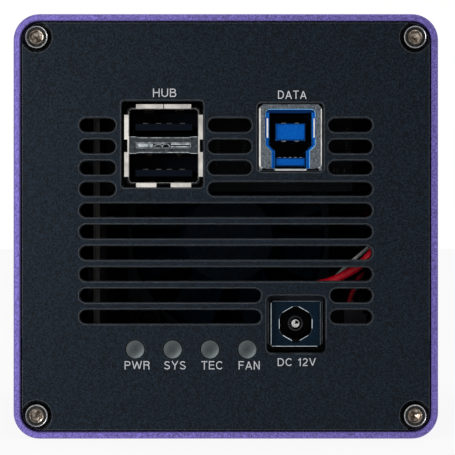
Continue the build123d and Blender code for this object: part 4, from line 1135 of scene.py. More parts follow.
# The socket's rings are hexagons: half the size across, depth and finish
SOCKET_RINGS = ((1.06, 0.14, 2), (1.0, 0.30, 2), (1.0, 1.30, 2))
SOCKET_CONE = 1.75
SHANK_RADIUS, SHANK_CHAMFER = 1.25, 0.4
SCREW_TURNS = (0.35, 0.1, 0.62, 0.24)


def hexagon_radius(angle, half):
    """How far a hexagon's side is from its middle, at an angle."""
    sixth = math.pi / 3
    return half / math.cos((angle % sixth) - sixth / 2)


def corner_screw(mesh, x, z, top, into, length, turn):
    """A cap screw with a knurled head, a crested rim whose pale steel is a painted highlight, and a
    hexagon socket.
    """
    end = HEAD_HEIGHT + length
    rings = [
        (SHANK_RADIUS - SHANK_CHAMFER, end, 0), (SHANK_RADIUS, end - SHANK_CHAMFER, 0),
        (SHANK_RADIUS, HEAD_HEIGHT, 0), *HEAD_RINGS, *SOCKET_RINGS,
    ]
    rows = []
    for radius, drop, kind in rings:
        points = []
        for i in range(SCREW_STEPS):
            angle = 2 * math.pi * i / SCREW_STEPS
            reach = radius
            if (radius, drop, kind) in SOCKET_RINGS:
                reach = hexagon_radius(angle, radius)
            elif radius == HEAD_RADIUS and i % 2:
                reach -= KNURL_DEPTH
            points.append(spot(
                x + reach * math.cos(angle + turn), top + into * drop,
                z + reach * math.sin(angle + turn),
            ))
        rows.append(vertices(mesh, points))
    for here, there, (_, _, kind) in zip(rows, rows[1:], rings):
        for face in join(mesh, here, there):
            face.material_index = kind
    mesh.faces.new(rows[0])
    tip = mesh.verts.new(spot(x, top + into * SOCKET_CONE, z))
    for here, there in zip(rows[-1], rows[-1][1:] + rows[-1][:1]):
        mesh.faces.new((here, there, tip)).material_index = 2


# ------------------------------------------------------------------ ports

# How far a mark on a flat face goes into it, and how round the springs' edges are
SINK = 0.02
SPRING_BEVEL = 0.04

# Inside of the hub port's shell: its rim's cut corners, lips and springs (place and width)
HUB_LEFT, HUB_RIGHT, HUB_LOW, HUB_HIGH = -18.27, -5.23, 8.28, 22.16
HUB_X, HUB_Z = (HUB_LEFT + HUB_RIGHT) / 2, (HUB_LOW + HUB_HIGH) / 2
HUB_MOUTH, HUB_SINK = 98.7, 0.04
RIM_CORNER, RIM_GAP = 0.5, 0.1
LIP_RISE, LIP_LENGTH, LIP_REACH, LIP_WIDTH, LIP_GAP = 3.52, 4.65, 5.2, 0.26, 0.1
UPPER_SPLIT, LOWER_SPLIT = 0.08, 1.35
HUB_SPRINGS = ((-14.55, 1.9), (-8.8, 1.7))
UPPER_REACH, LOWER_REACH = 0.62, 0.28

# The hub port's light pipe, which is narrower between its ends, and the window in its face
PIPE_LEFT, PIPE_RIGHT, PIPE_LOW, PIPE_HIGH = -18.22, -5.28, 13.72, 16.98
PIPE_FACE = 98.6
PIPE_END, PIPE_TAPER, PIPE_WAIST = 1.1, 0.6, 0.18
PIPE_INSET = 0.07
PIPE_WINDOW = (-16.94, -6.68, 14.80, 15.84)

# The data port's frame, liner and tongue faces
DATA_LEFT, DATA_RIGHT, DATA_LOW = 6.26, 18.16, 10.54
DATA_MOUTH = 98.7
DATA_X = 12.21
LINER_LEFT, LINER_TOP, LINER_WAIST, LINER_THROAT = 7.46, 22.2, 15.3, 14.25
LINER_NOTCH, LINER_HEAD, LINER_END = 16.55, 20.6, 11.1
LINER_STEP, LINER_CORNER = 1.07, 0.85
LINER_FACE = 98.35
TONGUE_FACES = ((9.41, 15.01, 16.25, 19.47), (9.41, 15.01, 11.4, 12.98))

# The lamps' middle and pitch, and the power jack's raised face round its hexagonal mouth
LAMP_X, LAMP_Z, LAMP_PITCH = -6.515, -23.21, 7.05
JACK_LEFT, JACK_RIGHT, JACK_LOW, JACK_HIGH = 8.52, 18.02, -22.85, -14.15
JACK_FACE, JACK_STEP = 96.5, 95.0
JACK_X, JACK_Z, JACK_FLAT, JACK_CORNER = 13.27, -18.5, 3.16, 1.75
JACK_INSET = 0.04
FACE_EDGES = (JACK_LEFT + 0.09, JACK_RIGHT - 0.07, JACK_LOW + 0.09, JACK_HIGH - 0.07)

# The telescope thread in the nose, the bond wires round the sensor and the chips' legs
THREAD_RADIUS, THREAD_CREST = 20.595, 0.14
THREAD_START, THREAD_DEEP, THREAD_STEPS = 0.55, 5.9, 120
BOND_PITCH = 0.45
PAD_HALF = 0.09
BORDER_INSET = 0.62
LEG_PITCH, LEG_SHEET = 0.65, 0.1


def mark(mesh, points, width, face, rise=0.02, closed=False):
    """A band along points that stands out of a face by rise."""
    band(mesh, points, width, face - SINK, face + rise, closed)


def patch(mesh, outline, face, rise):
    """A plate with that outline that stands out of a face by rise."""
    prism(mesh, outline, face - SINK, face + rise)


# ------------------------------------------------------------------ operators


class GUIDECAMERA_OT_finishes(Operator):
    """Gives every metal, plastic and glass part its finish"""

    bl_idname = "guide_camera.finishes"
    bl_label = "Finish the parts"

    def execute(self, context):
        for part in frame["record"]["subparts"]:
            node = frame["nodes"][part["node"]]
            if not node.material_slots:
                raise RuntimeError(f"{part['node']} has no material slot")
            maker = NODE_FINISHES.get(part["node"], FINISHES[part["material_slot"]])
            for place in node.material_slots:
                place.material = finish_of(maker)
        return {"FINISHED"}


class GUIDECAMERA_OT_legends(Operator):
    """Marks the rear plate with its lettering"""

    bl_idname = "guide_camera.legends"
    bl_label = "Mark the rear plate"

    def execute(self, context):
        for name, text, place in LEGENDS:
            mesh = bmesh.new()
            write(mesh, text, *place)
            add_piece(name, mesh, legend_ink, "black_anodised")
        return {"FINISHED"}


class GUIDECAMERA_OT_corner_screws(Operator):
    """Puts detailed cap screws in the corners of both plates"""

    bl_idname = "guide_camera.corner_screws"
    bl_label = "Fit the corner screws"

    def execute(self, context):
        for node, end, into in (("rear_screws", 0, -1), ("front_screws", 1, 1)):
            low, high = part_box(node)
            top = -(low.y, high.y)[end] / MM
            length = (high.y - low.y) / MM - HEAD_HEIGHT
            inset = high.x / MM - HEAD_RADIUS
            mesh = bmesh.new()
            for (x, z), turn in zip(((-1, 1), (1, 1), (-1, -1), (1, -1)), SCREW_TURNS):
                corner_screw(mesh, x * inset, z * inset, top, into, length, turn)
            # The rim's pale steel is a painted highlight
            makers = (screw_steel, screw_rim, screw_socket)
            piece = add_piece(f"{node}_detailed", mesh, makers, "screw_steel")
            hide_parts(node)
        return {"FINISHED"}


class GUIDECAMERA_OT_hub_port(Operator):
    """Adds the hub port's rims and springs, with painted highlights on a rim edge and the light pipe
    window, and painted shade in its gaps
    """

    bl_idname = "guide_camera.hub_port"
    bl_label = "Detail the hub port"

    def execute(self, context):
        add_pieces(
            ("hub_port_rim", partial(self.rim, 0.20, 0.24, 0.015), shell_sheet, "nickel"),
            # A painted highlight along the rim's edge
            ("hub_port_rim_edge", partial(self.rim, 0.05, 0.075, 0.02), painted_edge_highlight, "nickel"),
            ("hub_port_lip_roots", self.lip_roots, lip_sheet, "nickel"),
            ("hub_port_springs", self.springs, hub_spring, "nickel", SPRING_BEVEL),
            ("hub_port_pipe_gleams", self.pipe_gleams, pipe_gleam, "clear_plastic"),
            ("hub_port_pipe_tunnels", self.pipe_tunnels, port_shadow, "clear_plastic"),
        )
        return {"FINISHED"}

    def rim(self, offset, width, rise, mesh):
        """The rim round the shell's mouth, in two halves above and below the light pipe."""
        x0, x1 = HUB_LEFT - offset, HUB_RIGHT + offset
        for end, z, way in (
            (PIPE_HIGH + RIM_GAP, HUB_HIGH + offset, 1), (PIPE_LOW - RIM_GAP, HUB_LOW - offset, -1),
        ):
            shoulder = z - way * RIM_CORNER
            path = [(x0, end), (x0, shoulder), (x0 + RIM_CORNER, z), (x1 - RIM_CORNER, z),
                    (x1, shoulder), (x1, end)]
            band(mesh, path[::way], width, HUB_MOUTH - HUB_SINK, HUB_MOUTH + rise)

    def lip_roots(self, mesh):
        """The bends between the shell's rim and its folded lips."""
        near, far = HUB_MOUTH - HUB_SINK, HUB_MOUTH + 0.022
        for x in (HUB_LEFT - LIP_GAP - LIP_WIDTH, HUB_RIGHT + LIP_GAP):
            for z in (HUB_Z - LIP_RISE, HUB_Z + LIP_RISE):
                half = LIP_LENGTH / 2
                strip(mesh, x, x + LIP_WIDTH, z - half, z + half, near, far)
        for split, z in (
            (UPPER_SPLIT, HUB_HIGH + LIP_GAP), (LOWER_SPLIT, HUB_LOW - LIP_GAP - LIP_WIDTH),
        ):
            strip(mesh, HUB_X - LIP_REACH, HUB_X - split, z, z + LIP_WIDTH, near, far)
            strip(mesh, HUB_X + split, HUB_X + LIP_REACH, z, z + LIP_WIDTH, near, far)

    def springs(self, mesh):
        """Leaf springs along the top and bottom walls, and narrower ones under the pipe."""
        sheet = sizes().spring_sheet
        for x, width in HUB_SPRINGS:
            for wall, way, reach in ((HUB_HIGH, -1, UPPER_REACH), (HUB_LOW, 1, LOWER_REACH)):
                route = ((98.3, 0.06), (97.8, 0.3), (97.1, reach), (96.2, reach * 0.8), (95.2, 0.12))
                leaf(mesh, x, width, [(depth, wall + way * out) for depth, out in route], sheet)
            leaf(mesh, x, width * 0.55, [(depth, PIPE_LOW - out) for depth, out in (
                (97.9, 0.08), (97.4, 0.42), (96.8, 0.6), (95.9, 0.2),
            )], sheet)

    def pipe_gleams(self, mesh):
        """Painted highlights: the lit edges of the light pipe and of the window, and bright posts
        and coils in its face.
        """
        left, right = PIPE_LEFT + PIPE_INSET, PIPE_RIGHT - PIPE_INSET
        bends = (left, left + PIPE_END, left + PIPE_END + PIPE_TAPER,
                 right - PIPE_END - PIPE_TAPER, right - PIPE_END, right)
        for z, waist, width, way in (
            (PIPE_LOW + PIPE_INSET, PIPE_WAIST, 0.13, 1),
            (PIPE_HIGH - PIPE_INSET, -PIPE_WAIST, 0.09, -1),
        ):
            rises = (z, z, z + waist, z + waist, z, z)
            mark(mesh, list(zip(bends, rises))[::way], width, PIPE_FACE, 0.03)
        mark(mesh, round_rectangle(*PIPE_WINDOW, 0.2, 3), 0.06, PIPE_FACE, 0.03, closed=True)
        for box, corner in (
            ((-16.78, -13.75, 14.98, 15.66), 0.15), ((-10.35, -6.86, 15.42, 15.66), 0.08),
            ((-10.35, -6.86, 14.96, 15.14), 0.08),
        ):
            patch(mesh, box_outline(*box, corner), PIPE_FACE, 0.02)
        for path in (
            [(-13.7, 15.66), (-12.9, 15.72), (-12.3, 15.6), (-11.8, 15.72), (-11.3, 15.5)],
            [(-13.6, 15.02), *arc((-12.75, 15.05), (0.75, 0.4), 160, 20), (-11.95, 14.98)],
            [(-12.0, 15.1), *arc((-11.3, 15.1), (0.62, 0.48), 150, 10), (-10.6, 14.98)],
        ):
            mark(mesh, path, 0.1, PIPE_FACE, 0.025)

    def pipe_tunnels(self, mesh):
        """Dark patches of painted shade for the gaps seen through the window."""
        for box in (
            (-13.65, -12.35, 15.12, 15.56), (-11.85, -10.75, 14.96, 15.4),
            (-10.35, -6.9, 15.2, 15.36),
        ):
            patch(mesh, box_outline(*box, 0.1), PIPE_FACE, 0.012)


class GUIDECAMERA_OT_data_port(Operator):
    """Adds the data port's springs, painted highlights on its frame's edges and painted shade under
    them
    """

    bl_idname = "guide_camera.data_port"
    bl_label = "Detail the data port"

    def execute(self, context):
        add_pieces(
            ("data_port_side_springs", self.springs, bright_edge, "nickel"),
            ("data_port_edges", self.edges, bright_edge, "nickel"),
            ("data_port_tabs", self.tabs, port_shadow, "nickel"),
            ("data_port_liner_edges", self.liner_edges, lit_blue_plastic, "blue_plastic"),
            ("data_port_liner_shades", self.liner_shades, shaded_blue_plastic, "blue_plastic"),
            ("data_port_corners", self.corners, data_shell_sheet, "nickel"),
        )
        return {"FINISHED"}

    def springs(self, mesh):
        """A bowed leaf in each side of the liner, pale as a painted highlight."""
        for x in (7.86, 16.70):
            leaf(mesh, x, 0.3, [(LINER_FACE + out, z) for out, z in (
                (0.01, 20.42), (0.05, 20.2), (0.09, 19.4), (0.1, 18.6), (0.09, 17.8),
                (0.05, 17.0), (0.01, 16.76),
            )], 0.06 * MM)

    def edges(self, mesh):
        """Painted highlights along stretches of the frame's edge and on the folds of its lower
        corners.
        """
        for box, corner in (
            ((DATA_LEFT + 0.03, DATA_LEFT + 0.33, 11.35, 22.3), 0.08),
            ((DATA_RIGHT - 0.22, DATA_RIGHT - 0.04, 11.5, 22.2), 0.06),
            ((9.3, 15.2, DATA_LOW + 0.02, DATA_LOW + 0.2), 0.05),
        ):
            patch(mesh, box_outline(*box, corner), DATA_MOUTH, 0.02)
        mark(mesh, [(6.5, 11.3), (6.95, 10.95), (7.2, 10.72)], 0.12, DATA_MOUTH)
        mark(mesh, [(17.9, 11.3), (17.5, 10.98), (17.2, 10.8)], 0.1, DATA_MOUTH)

    def tabs(self, mesh):
        """Dark patches of painted shade under the frame's lower edge."""
        for outer, inner in ((6.75, 9.15), (17.67, 15.27)):
            way = math.copysign(1.0, inner - outer)
            patch(mesh, [(x, DATA_LOW + rise) for x, rise in (
                (outer, 0.02), (inner, 0.02), (inner - 0.1 * way, 0.34), (outer + 0.9 * way, 0.34),
                (outer + 0.6 * way, 0.5), (outer + 0.1 * way, 0.42),
            )], DATA_MOUTH, 0.03)

    def mirror(self, path):
        """The same path on the other side of the receptacle's middle."""
        return [(2 * DATA_X - x, z) for x, z in path]

    def liner_edges(self, mesh):
        """The lit outer edge of the blue liner."""
        left = LINER_LEFT + 0.04
        step = left + LINER_STEP
        side = [(left, LINER_NOTCH), (left, LINER_WAIST), (step, LINER_THROAT), (step, LINER_END)]
        centre = (left + LINER_CORNER, LINER_TOP - 0.04 - LINER_CORNER)
        top = [(left, LINER_HEAD), *arc(centre, (LINER_CORNER, LINER_CORNER), 180, 90, 6)]
        for path in (side, self.mirror(side), top + self.mirror(top)[::-1]):
            mark(mesh, path, 0.1, LINER_FACE)

    def liner_shades(self, mesh):
        """Painted shade on the liner's inner side and head, and on the bevels round its two tongues.
        """
        left = LINER_LEFT + 0.59
        step = left + LINER_STEP - 0.05
        inner = [
            (left, LINER_NOTCH), (left, LINER_WAIST + 0.12), (step, LINER_THROAT + 0.1),
            (step, LINER_END),
        ]
        for path in (inner, self.mirror(inner)):
            mark(mesh, path, 0.14, LINER_FACE, 0.012)
        head = [(LINER_LEFT + 0.14, LINER_TOP - 0.45)]
        mark(mesh, head + self.mirror(head), 0.5, LINER_FACE, 0.01)
        for x0, x1, z0, z1 in TONGUE_FACES:
            outline = round_rectangle(x0 + 0.08, x1 - 0.08, z0 + 0.08, z1 - 0.08, 0.1, 2)
            mark(mesh, outline, 0.17, LINER_FACE, 0.012, closed=True)

    def corners(self, mesh):
        """Sheet that rounds the frame's upper corners over the liner."""
        x, z = LINER_LEFT - 0.06, LINER_TOP + 0.06
        centre = (x + LINER_CORNER, z - LINER_CORNER)
        outline = [(x, z), *arc(centre, (LINER_CORNER, LINER_CORNER), 180, 90)]
        for path in (outline, self.mirror(outline)):
            prism(mesh, path, LINER_FACE - SINK, DATA_MOUTH - 0.01)


class GUIDECAMERA_OT_power_jack(Operator):
    """Adds painted highlights and shade on the power jack's face, mouth and pin, and its contact
    leaf
    """

    bl_idname = "guide_camera.power_jack"
    bl_label = "Detail the power jack"

    def execute(self, context):
        plastic = "gloss_black_plastic"
        add_pieces(
            ("power_jack_lit_edges", self.lit_edges, jack_lit_edge, plastic),
            ("power_jack_edges", self.edges, jack_gleam, plastic),
            ("power_jack_mouth_edge", self.mouth_edge, jack_dim_edge, plastic),
            ("power_jack_notch", self.notch, port_shadow, plastic),
            ("power_jack_skirt", self.skirt, jack_skirt, plastic),
            ("power_jack_rim", self.rim, jack_lit_edge, "nickel"),
            ("power_jack_fillets", self.fillets, gloss_black_plastic, plastic),
            ("power_jack_collar_ring", self.collar_ring, jack_collar_highlight, "nickel"),
            ("power_jack_pin_slit", self.pin_slit, port_shadow, "nickel"),
            ("power_jack_leaf", self.contact_leaf, hub_spring, "nickel", SPRING_BEVEL),
        )
        return {"FINISHED"}

    def lit_edges(self, mesh):
        """Painted highlights on the left and lower edges of the raised face."""
        left, right, low, high = FACE_EDGES
        mark(mesh, [(left, low + 0.2), (left, high - 0.3)], 0.13, JACK_FACE)
        mark(mesh, [(left + 0.1, low), (right - 0.6, low)], 0.1, JACK_FACE)

    def edges(self, mesh):
        """Dimmer painted highlights on the upper and right edges of the raised face, and on the
        edges beside it.
        """
        left, right, low, high = FACE_EDGES
        path = [(left + 0.3, high), (right - 0.1, high), (right, high - 0.1), (right, low + 0.3)]
        mark(mesh, path, 0.07, JACK_FACE)
        step = JACK_STEP + 0.03
        for x in (JACK_LEFT - 0.44, JACK_RIGHT + 0.34):
            band(mesh, [(x, JACK_LOW + 0.5), (x, JACK_HIGH - 0.1)], 0.07, step, step + 0.02)

    def mouth_edge(self, mesh):
        """A painted highlight round the edge of the hexagonal mouth, open at its lowest corner."""
        corners = [self.corner(turn, JACK_FLAT - JACK_INSET) for turn in range(270, 631, 60)]
        path = [corners[0][-1], *chain(*corners[1:-1]), corners[-1][0]]
        mark(mesh, path, 0.07, JACK_FACE, 0.025)

    def notch(self, mesh):
        """A dark patch of painted shade under the mouth."""
        low = JACK_Z - JACK_FLAT - 0.42
        patch(mesh, [
            (JACK_X - 0.72, low + 0.62), (JACK_X - 0.6, low), (JACK_X + 0.6, low),
            (JACK_X + 0.72, low + 0.62),
        ], JACK_FACE, 0.03)

    def skirt(self, mesh):
        """The jack's skirt beside and above its raised face."""
        low, high = JACK_LOW + 0.3, JACK_HIGH + 0.78
        for box in (
            (JACK_LEFT - 0.53, JACK_LEFT - 0.02, low, high),
            (JACK_RIGHT + 0.02, JACK_RIGHT + 0.53, low, high),
            (JACK_LEFT, JACK_RIGHT, JACK_HIGH + 0.02, high),
        ):
            patch(mesh, box_outline(*box), JACK_STEP, 0.03)

    def rim(self, mesh):
        """Painted highlights on the flats of the mouth: each one's turn, half length and width."""
        for turn, half_length, width in (
            (0, 0.9, 0.12), (60, 1.1, 0.09), (120, 1.1, 0.08), (180, 0.9, 0.1),
            (240, 1.0, 0.13), (300, 0.95, 0.08),
        ):
            out = self.outward(turn)
            middle = Vector((JACK_X, JACK_Z)) + (JACK_FLAT - JACK_INSET) * out
            along = half_length * Vector((-out.y, out.x))
            mark(mesh, [middle - along, middle + along], width, JACK_FACE, 0.03)

    def fillets(self, mesh):
        """Fills the corners of the hexagon opening back to their arcs."""
        apex = JACK_FLAT / math.cos(math.pi / 6) + 0.06
        for turn in range(30, 390, 60):
            point = Vector((JACK_X, JACK_Z)) + self.outward(turn) * apex
            outline = [tuple(point), *reversed(self.corner(turn, JACK_FLAT))]
            prism(mesh, outline, JACK_FACE - 0.32, JACK_FACE + 0.01)

    def collar_ring(self, mesh):
        # A faint ring of painted highlight round the pin's collar
        turned(mesh, (JACK_X, JACK_Z), (
            (1.18, 94.6), (1.24, 94.75), (1.36, 94.75), (1.42, 94.6), (1.42, 92.6), (1.18, 92.6),
        ))

    def pin_slit(self, mesh):
        """A dark patch of painted shade for the slit in the tip of the centre pin."""
        tip = rear_of("power_jack_pin")
        x, z = centre_of("power_jack_pin")
        prism(mesh, [
            (x - 0.12, z - 0.08), (x + 0.55, z - 0.02), (x + 0.6, z + 0.3), (x + 0.3, z + 0.55),
            (x, z + 0.58),
        ], tip - 0.3, tip + 0.02)

    def contact_leaf(self, mesh):
        """The contact leaf in the floor of the mouth."""
        leaf(mesh, JACK_X, 1.45, (
            (96.2, -22.0), (95.9, -21.72), (95.2, -21.5), (93.5, -21.3), (91.0, -21.5),
            (88.5, -21.9),
        ), sizes().spring_sheet)

    def outward(self, turn):
        """A step of one in a direction, turned in degrees from X towards Z."""
        return Vector((math.cos(math.radians(turn)), math.sin(math.radians(turn))))

    def corner(self, turn, flat):
        """The arc that rounds one corner of the mouth's hexagon, which is 2 flat across."""
        reach = (flat - JACK_CORNER) / math.cos(math.pi / 6)
        centre = Vector((JACK_X, JACK_Z)) + self.outward(turn) * reach
        return arc(centre, (JACK_CORNER, JACK_CORNER), turn - 30, turn + 30)


class GUIDECAMERA_OT_front(Operator):
    """Adds the telescope thread and the image sensor's bond wires"""

    bl_idname = "guide_camera.front"
    bl_label = "Detail the front"

    def execute(self, context):
        add_pieces(("nose_thread", self.thread, black_anodising, "black_anodised"))
        self.bonds()
        add_pieces(("sensor_border", self.border, port_shadow, "silicon"))
        return {"FINISHED"}

    def thread(self, mesh):
        """The crests of the thread inside the nose, as one helix."""
        pitch = sizes().thread_pitch / MM
        count = int((THREAD_DEEP - THREAD_START) / pitch) * THREAD_STEPS
        root = THREAD_RADIUS + 0.01
        rings = []
        for i in range(count + 1):
            angle = 2 * math.pi * i / THREAD_STEPS
            x, z = math.cos(angle), math.sin(angle)
            depth = THREAD_START + pitch * i / THREAD_STEPS
            fade = min(1.0, i / THREAD_STEPS, (count - i) / THREAD_STEPS)
            crest = THREAD_RADIUS - THREAD_CREST * fade
            rings.append(vertices(mesh, [
                spot(radius * x, depth + shift * pitch, radius * z)
                for radius, shift in ((root, -0.42), (crest, -0.08), (crest, 0.08), (root, 0.42))
            ]))
        skin(mesh, rings)

    def bonds(self):
        """Bond wires from the sensor's four edges to the pads round it."""
        low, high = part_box("sensor_die")
        floor, face = -low.y / MM, -high.y / MM
        width, height = high.x / MM, high.z / MM
        gauge = sizes().bond_wire
        on_die, on_floor = (-0.18, face), (1.3, floor - 0.01)
        route = (on_die, (-0.1, face - 0.12), (0.35, face - 0.08), (0.95, face + 0.3), on_floor)
        wires, pads = bmesh.new(), bmesh.new()
        for half, reach, upright in ((height, width, True), (width, height, False)):
            half_gauge = Vector((0.0, 0.0, gauge / 2) if upright else (gauge / 2, 0.0, 0.0))
            count = int((2 * half - 1.0) / BOND_PITCH)
            for number, side in product(range(count + 1), (-1, 1)):
                along = (number - count / 2) * BOND_PITCH
                path = []
                for out, depth in route:
                    across = side * (reach + out)
                    x, z = (across, along) if upright else (along, across)
                    path.append(spot(x, depth, z))
                    if (out, depth) in (on_die, on_floor):
                        square = box_outline(x - PAD_HALF, x + PAD_HALF, z - PAD_HALF, z + PAD_HALF)
                        prism(pads, square, depth - 0.012, depth + 0.02)
                sheet_along(wires, path, half_gauge, gauge)
        add_piece("sensor_bond_wires", wires, bond_metal, "gold_contact")
        add_piece("sensor_bond_pads", pads, bond_metal, "gold_contact")

    def border(self, mesh):
        """The dark border round the sensor's light-sensitive area."""
        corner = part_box("sensor_die")[1] / MM
        face, width, height = -corner.y, corner.x - BORDER_INSET, corner.z - BORDER_INSET
        outline = box_outline(-width, width, -height, height)
        band(mesh, outline, 0.3, face - 0.006, face + 0.01, closed=True)


# Chips are place, size and height, and passives are places, in millimetres along the board's face
PORT_CHIPS = ((1.0, 15.6, 4.4, 4.4, 0.9), (21.6, 17.2, 3.8, 4.9, 1.4), (0.9, 21.6, 2.9, 1.6, 1.0))
PORT_PASSIVES = (
    (-21.4, 10.2), (-21.4, 13.4), (-21.4, 19.0), (-1.2, 9.6), (1.0, 9.6), (3.2, 9.6),
    (20.6, 11.0), (22.6, 11.0), (20.6, 22.4), (22.6, 22.4), (-2.6, 12.2), (4.6, 12.2),
)
POWER_CHIPS = (
    (-13.7, -28.0, 5.0, 4.2, 1.4), (-5.2, -28.2, 4.6, 4.6, 2.6), (8.4, -28.2, 3.6, 4.2, 1.4),
    (15.4, -28.2, 5.0, 4.4, 1.0),
)
POWER_PASSIVES = (
    (-17.4, -31.4), (-9.4, -26.6), (-9.4, -28.4), (-9.4, -30.2), (-1.7, -26.2),
    (5.6, -31.6), (11.8, -27.0), (11.8, -29.4),
)
MAIN_CHIPS = (
    (82.0, 20.0, 12.0, 12.0, 1.2), (82.0, -19.0, 8.0, 12.0, 1.0), (75.0, 31.5, 4.0, 5.0, 1.4),
    (88.5, -31.5, 5.0, 4.4, 1.4), (74.5, -31.5, 3.2, 2.5, 0.9),
)
# Rows of passives: the first one's place, the pitch and how many
MAIN_ROWS = ((73.0, 11.6, 2.4, 7), (73.0, -11.0, 2.4, 7), (81.0, 30.2, 2.6, 4))


class GUIDECAMERA_OT_boards(Operator):
    """Adds the chips and small parts on the circuit boards, and the marks on the fan's hub"""

    bl_idname = "guide_camera.boards"
    bl_label = "Fill the boards"

    def execute(self, context):
        port_face, power_face = rear_of("port_board"), rear_of("power_board")
        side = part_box("main_board")[0].x / MM
        rows = [(u + pitch * i, v) for u, v, pitch, count in MAIN_ROWS for i in range(count)]
        for name, place, chips, passives in (
            ("port_board", lambda u, v, w: spot(u, port_face + w, v), PORT_CHIPS, PORT_PASSIVES),
            ("power_board", lambda u, v, w: spot(u, power_face + w, v), POWER_CHIPS, POWER_PASSIVES),
            ("main_board", lambda u, v, w: spot(side - w, u, v), MAIN_CHIPS, rows),
        ):
            self.board(name, place, chips, passives)
        self.hub()
        return {"FINISHED"}

    def board(self, name, place, chips, passives):
        """Parts on one board; place takes two ways along its face and one out of it."""
        bodies, legs = bmesh.new(), bmesh.new()
        for chip in chips:
            self.chip(bodies, legs, place, *chip)
        add_piece(name + "_chips", bodies, chip_resin, "dark_ceramic")
        bodies = bmesh.new()
        for u, v in passives:
            self.body(bodies, place, (u, v), (0.5, 0.42), (0.02, 0.8), 0.05)
            for way in (-1, 1):
                self.body(legs, place, (u + way * 0.68, v), (0.2, 0.45), (0.0, 0.84), 0.08)
        add_piece(name + "_capacitors", bodies, capacitor_body, "dark_ceramic")
        add_piece(name + "_solder", legs, solder, "tinned_metal")

    def chip(self, bodies, legs, place, u, v, width, height, thickness):
        """A moulded chip with a row of bent legs on either side."""
        self.body(bodies, place, (u, v), (width / 2, height / 2), (0.08, thickness), 0.12)
        count = int((height - 0.7) / LEG_PITCH)
        across = (place(0, 1, 0) - place(0, 0, 0)) * LEG_PITCH / 4
        route = ((-0.05, thickness / 2), (0.18, thickness / 2), (0.34, 0.1), (0.62, 0.06))
        for number in range(count + 1):
            along = v + (number - count / 2) * LEG_PITCH
            for way in (-1, 1):
                path = [place(u + way * (width / 2 + out), along, rise) for out, rise in route]
                sheet_along(legs, path, across, LEG_SHEET * MM)

    def body(self, mesh, place, centre, half, rises, draft):
        """A moulded block whose sides lean in by draft towards its top."""
        low, high = rises
        skin(mesh, [
            vertices(mesh, [
                place(centre[0] + x * (half[0] - inset), centre[1] + y * (half[1] - inset), rise)
                for x, y in ((-1, -1), (1, -1), (1, 1), (-1, 1))
            ])
            for rise, inset in ((low, 0.0), ((low + high) / 2, 0.0), (high, draft))
        ])

    def hub(self):
        """A moulded ring and gate marks on the fan's hub, which turn with it."""
        x, z = centre_of("fan_shaft")
        face = rear_of("fan_rotor")
        mesh = bmesh.new()
        turned(mesh, (x, z), (
            (5.9, face - 0.05), (6.0, face + 0.1), (6.2, face + 0.1), (6.3, face - 0.05),
        ), 64)
        for number in range(3):
            angle = 2 * math.pi * number / 3 + 0.4
            centre = (x + 3.6 * math.cos(angle), z + 3.6 * math.sin(angle))
            prism(mesh, arc(centre, (0.5, 0.5), 0, 342, 19), face - 0.05, face + 0.12)
        add_piece("fan_hub_marks", mesh, fan_blades, "fan_plastic", body="fan_wheel")


# Each lamp's place, with its depth from the rear plate, and its size, in metres
MAIN_LAMP, MAIN_LAMP_SIZE = (-0.24, -0.32, 0.04), 0.15
SECOND_LAMP, SECOND_LAMP_SIZE = (0.10, -0.10, 0.50), 0.40
VIEW_RIGHT, VIEW_UP = 0.00032, -0.00021
FLOOR_HALF, FLOOR_GLOW = 3.0, 0.88


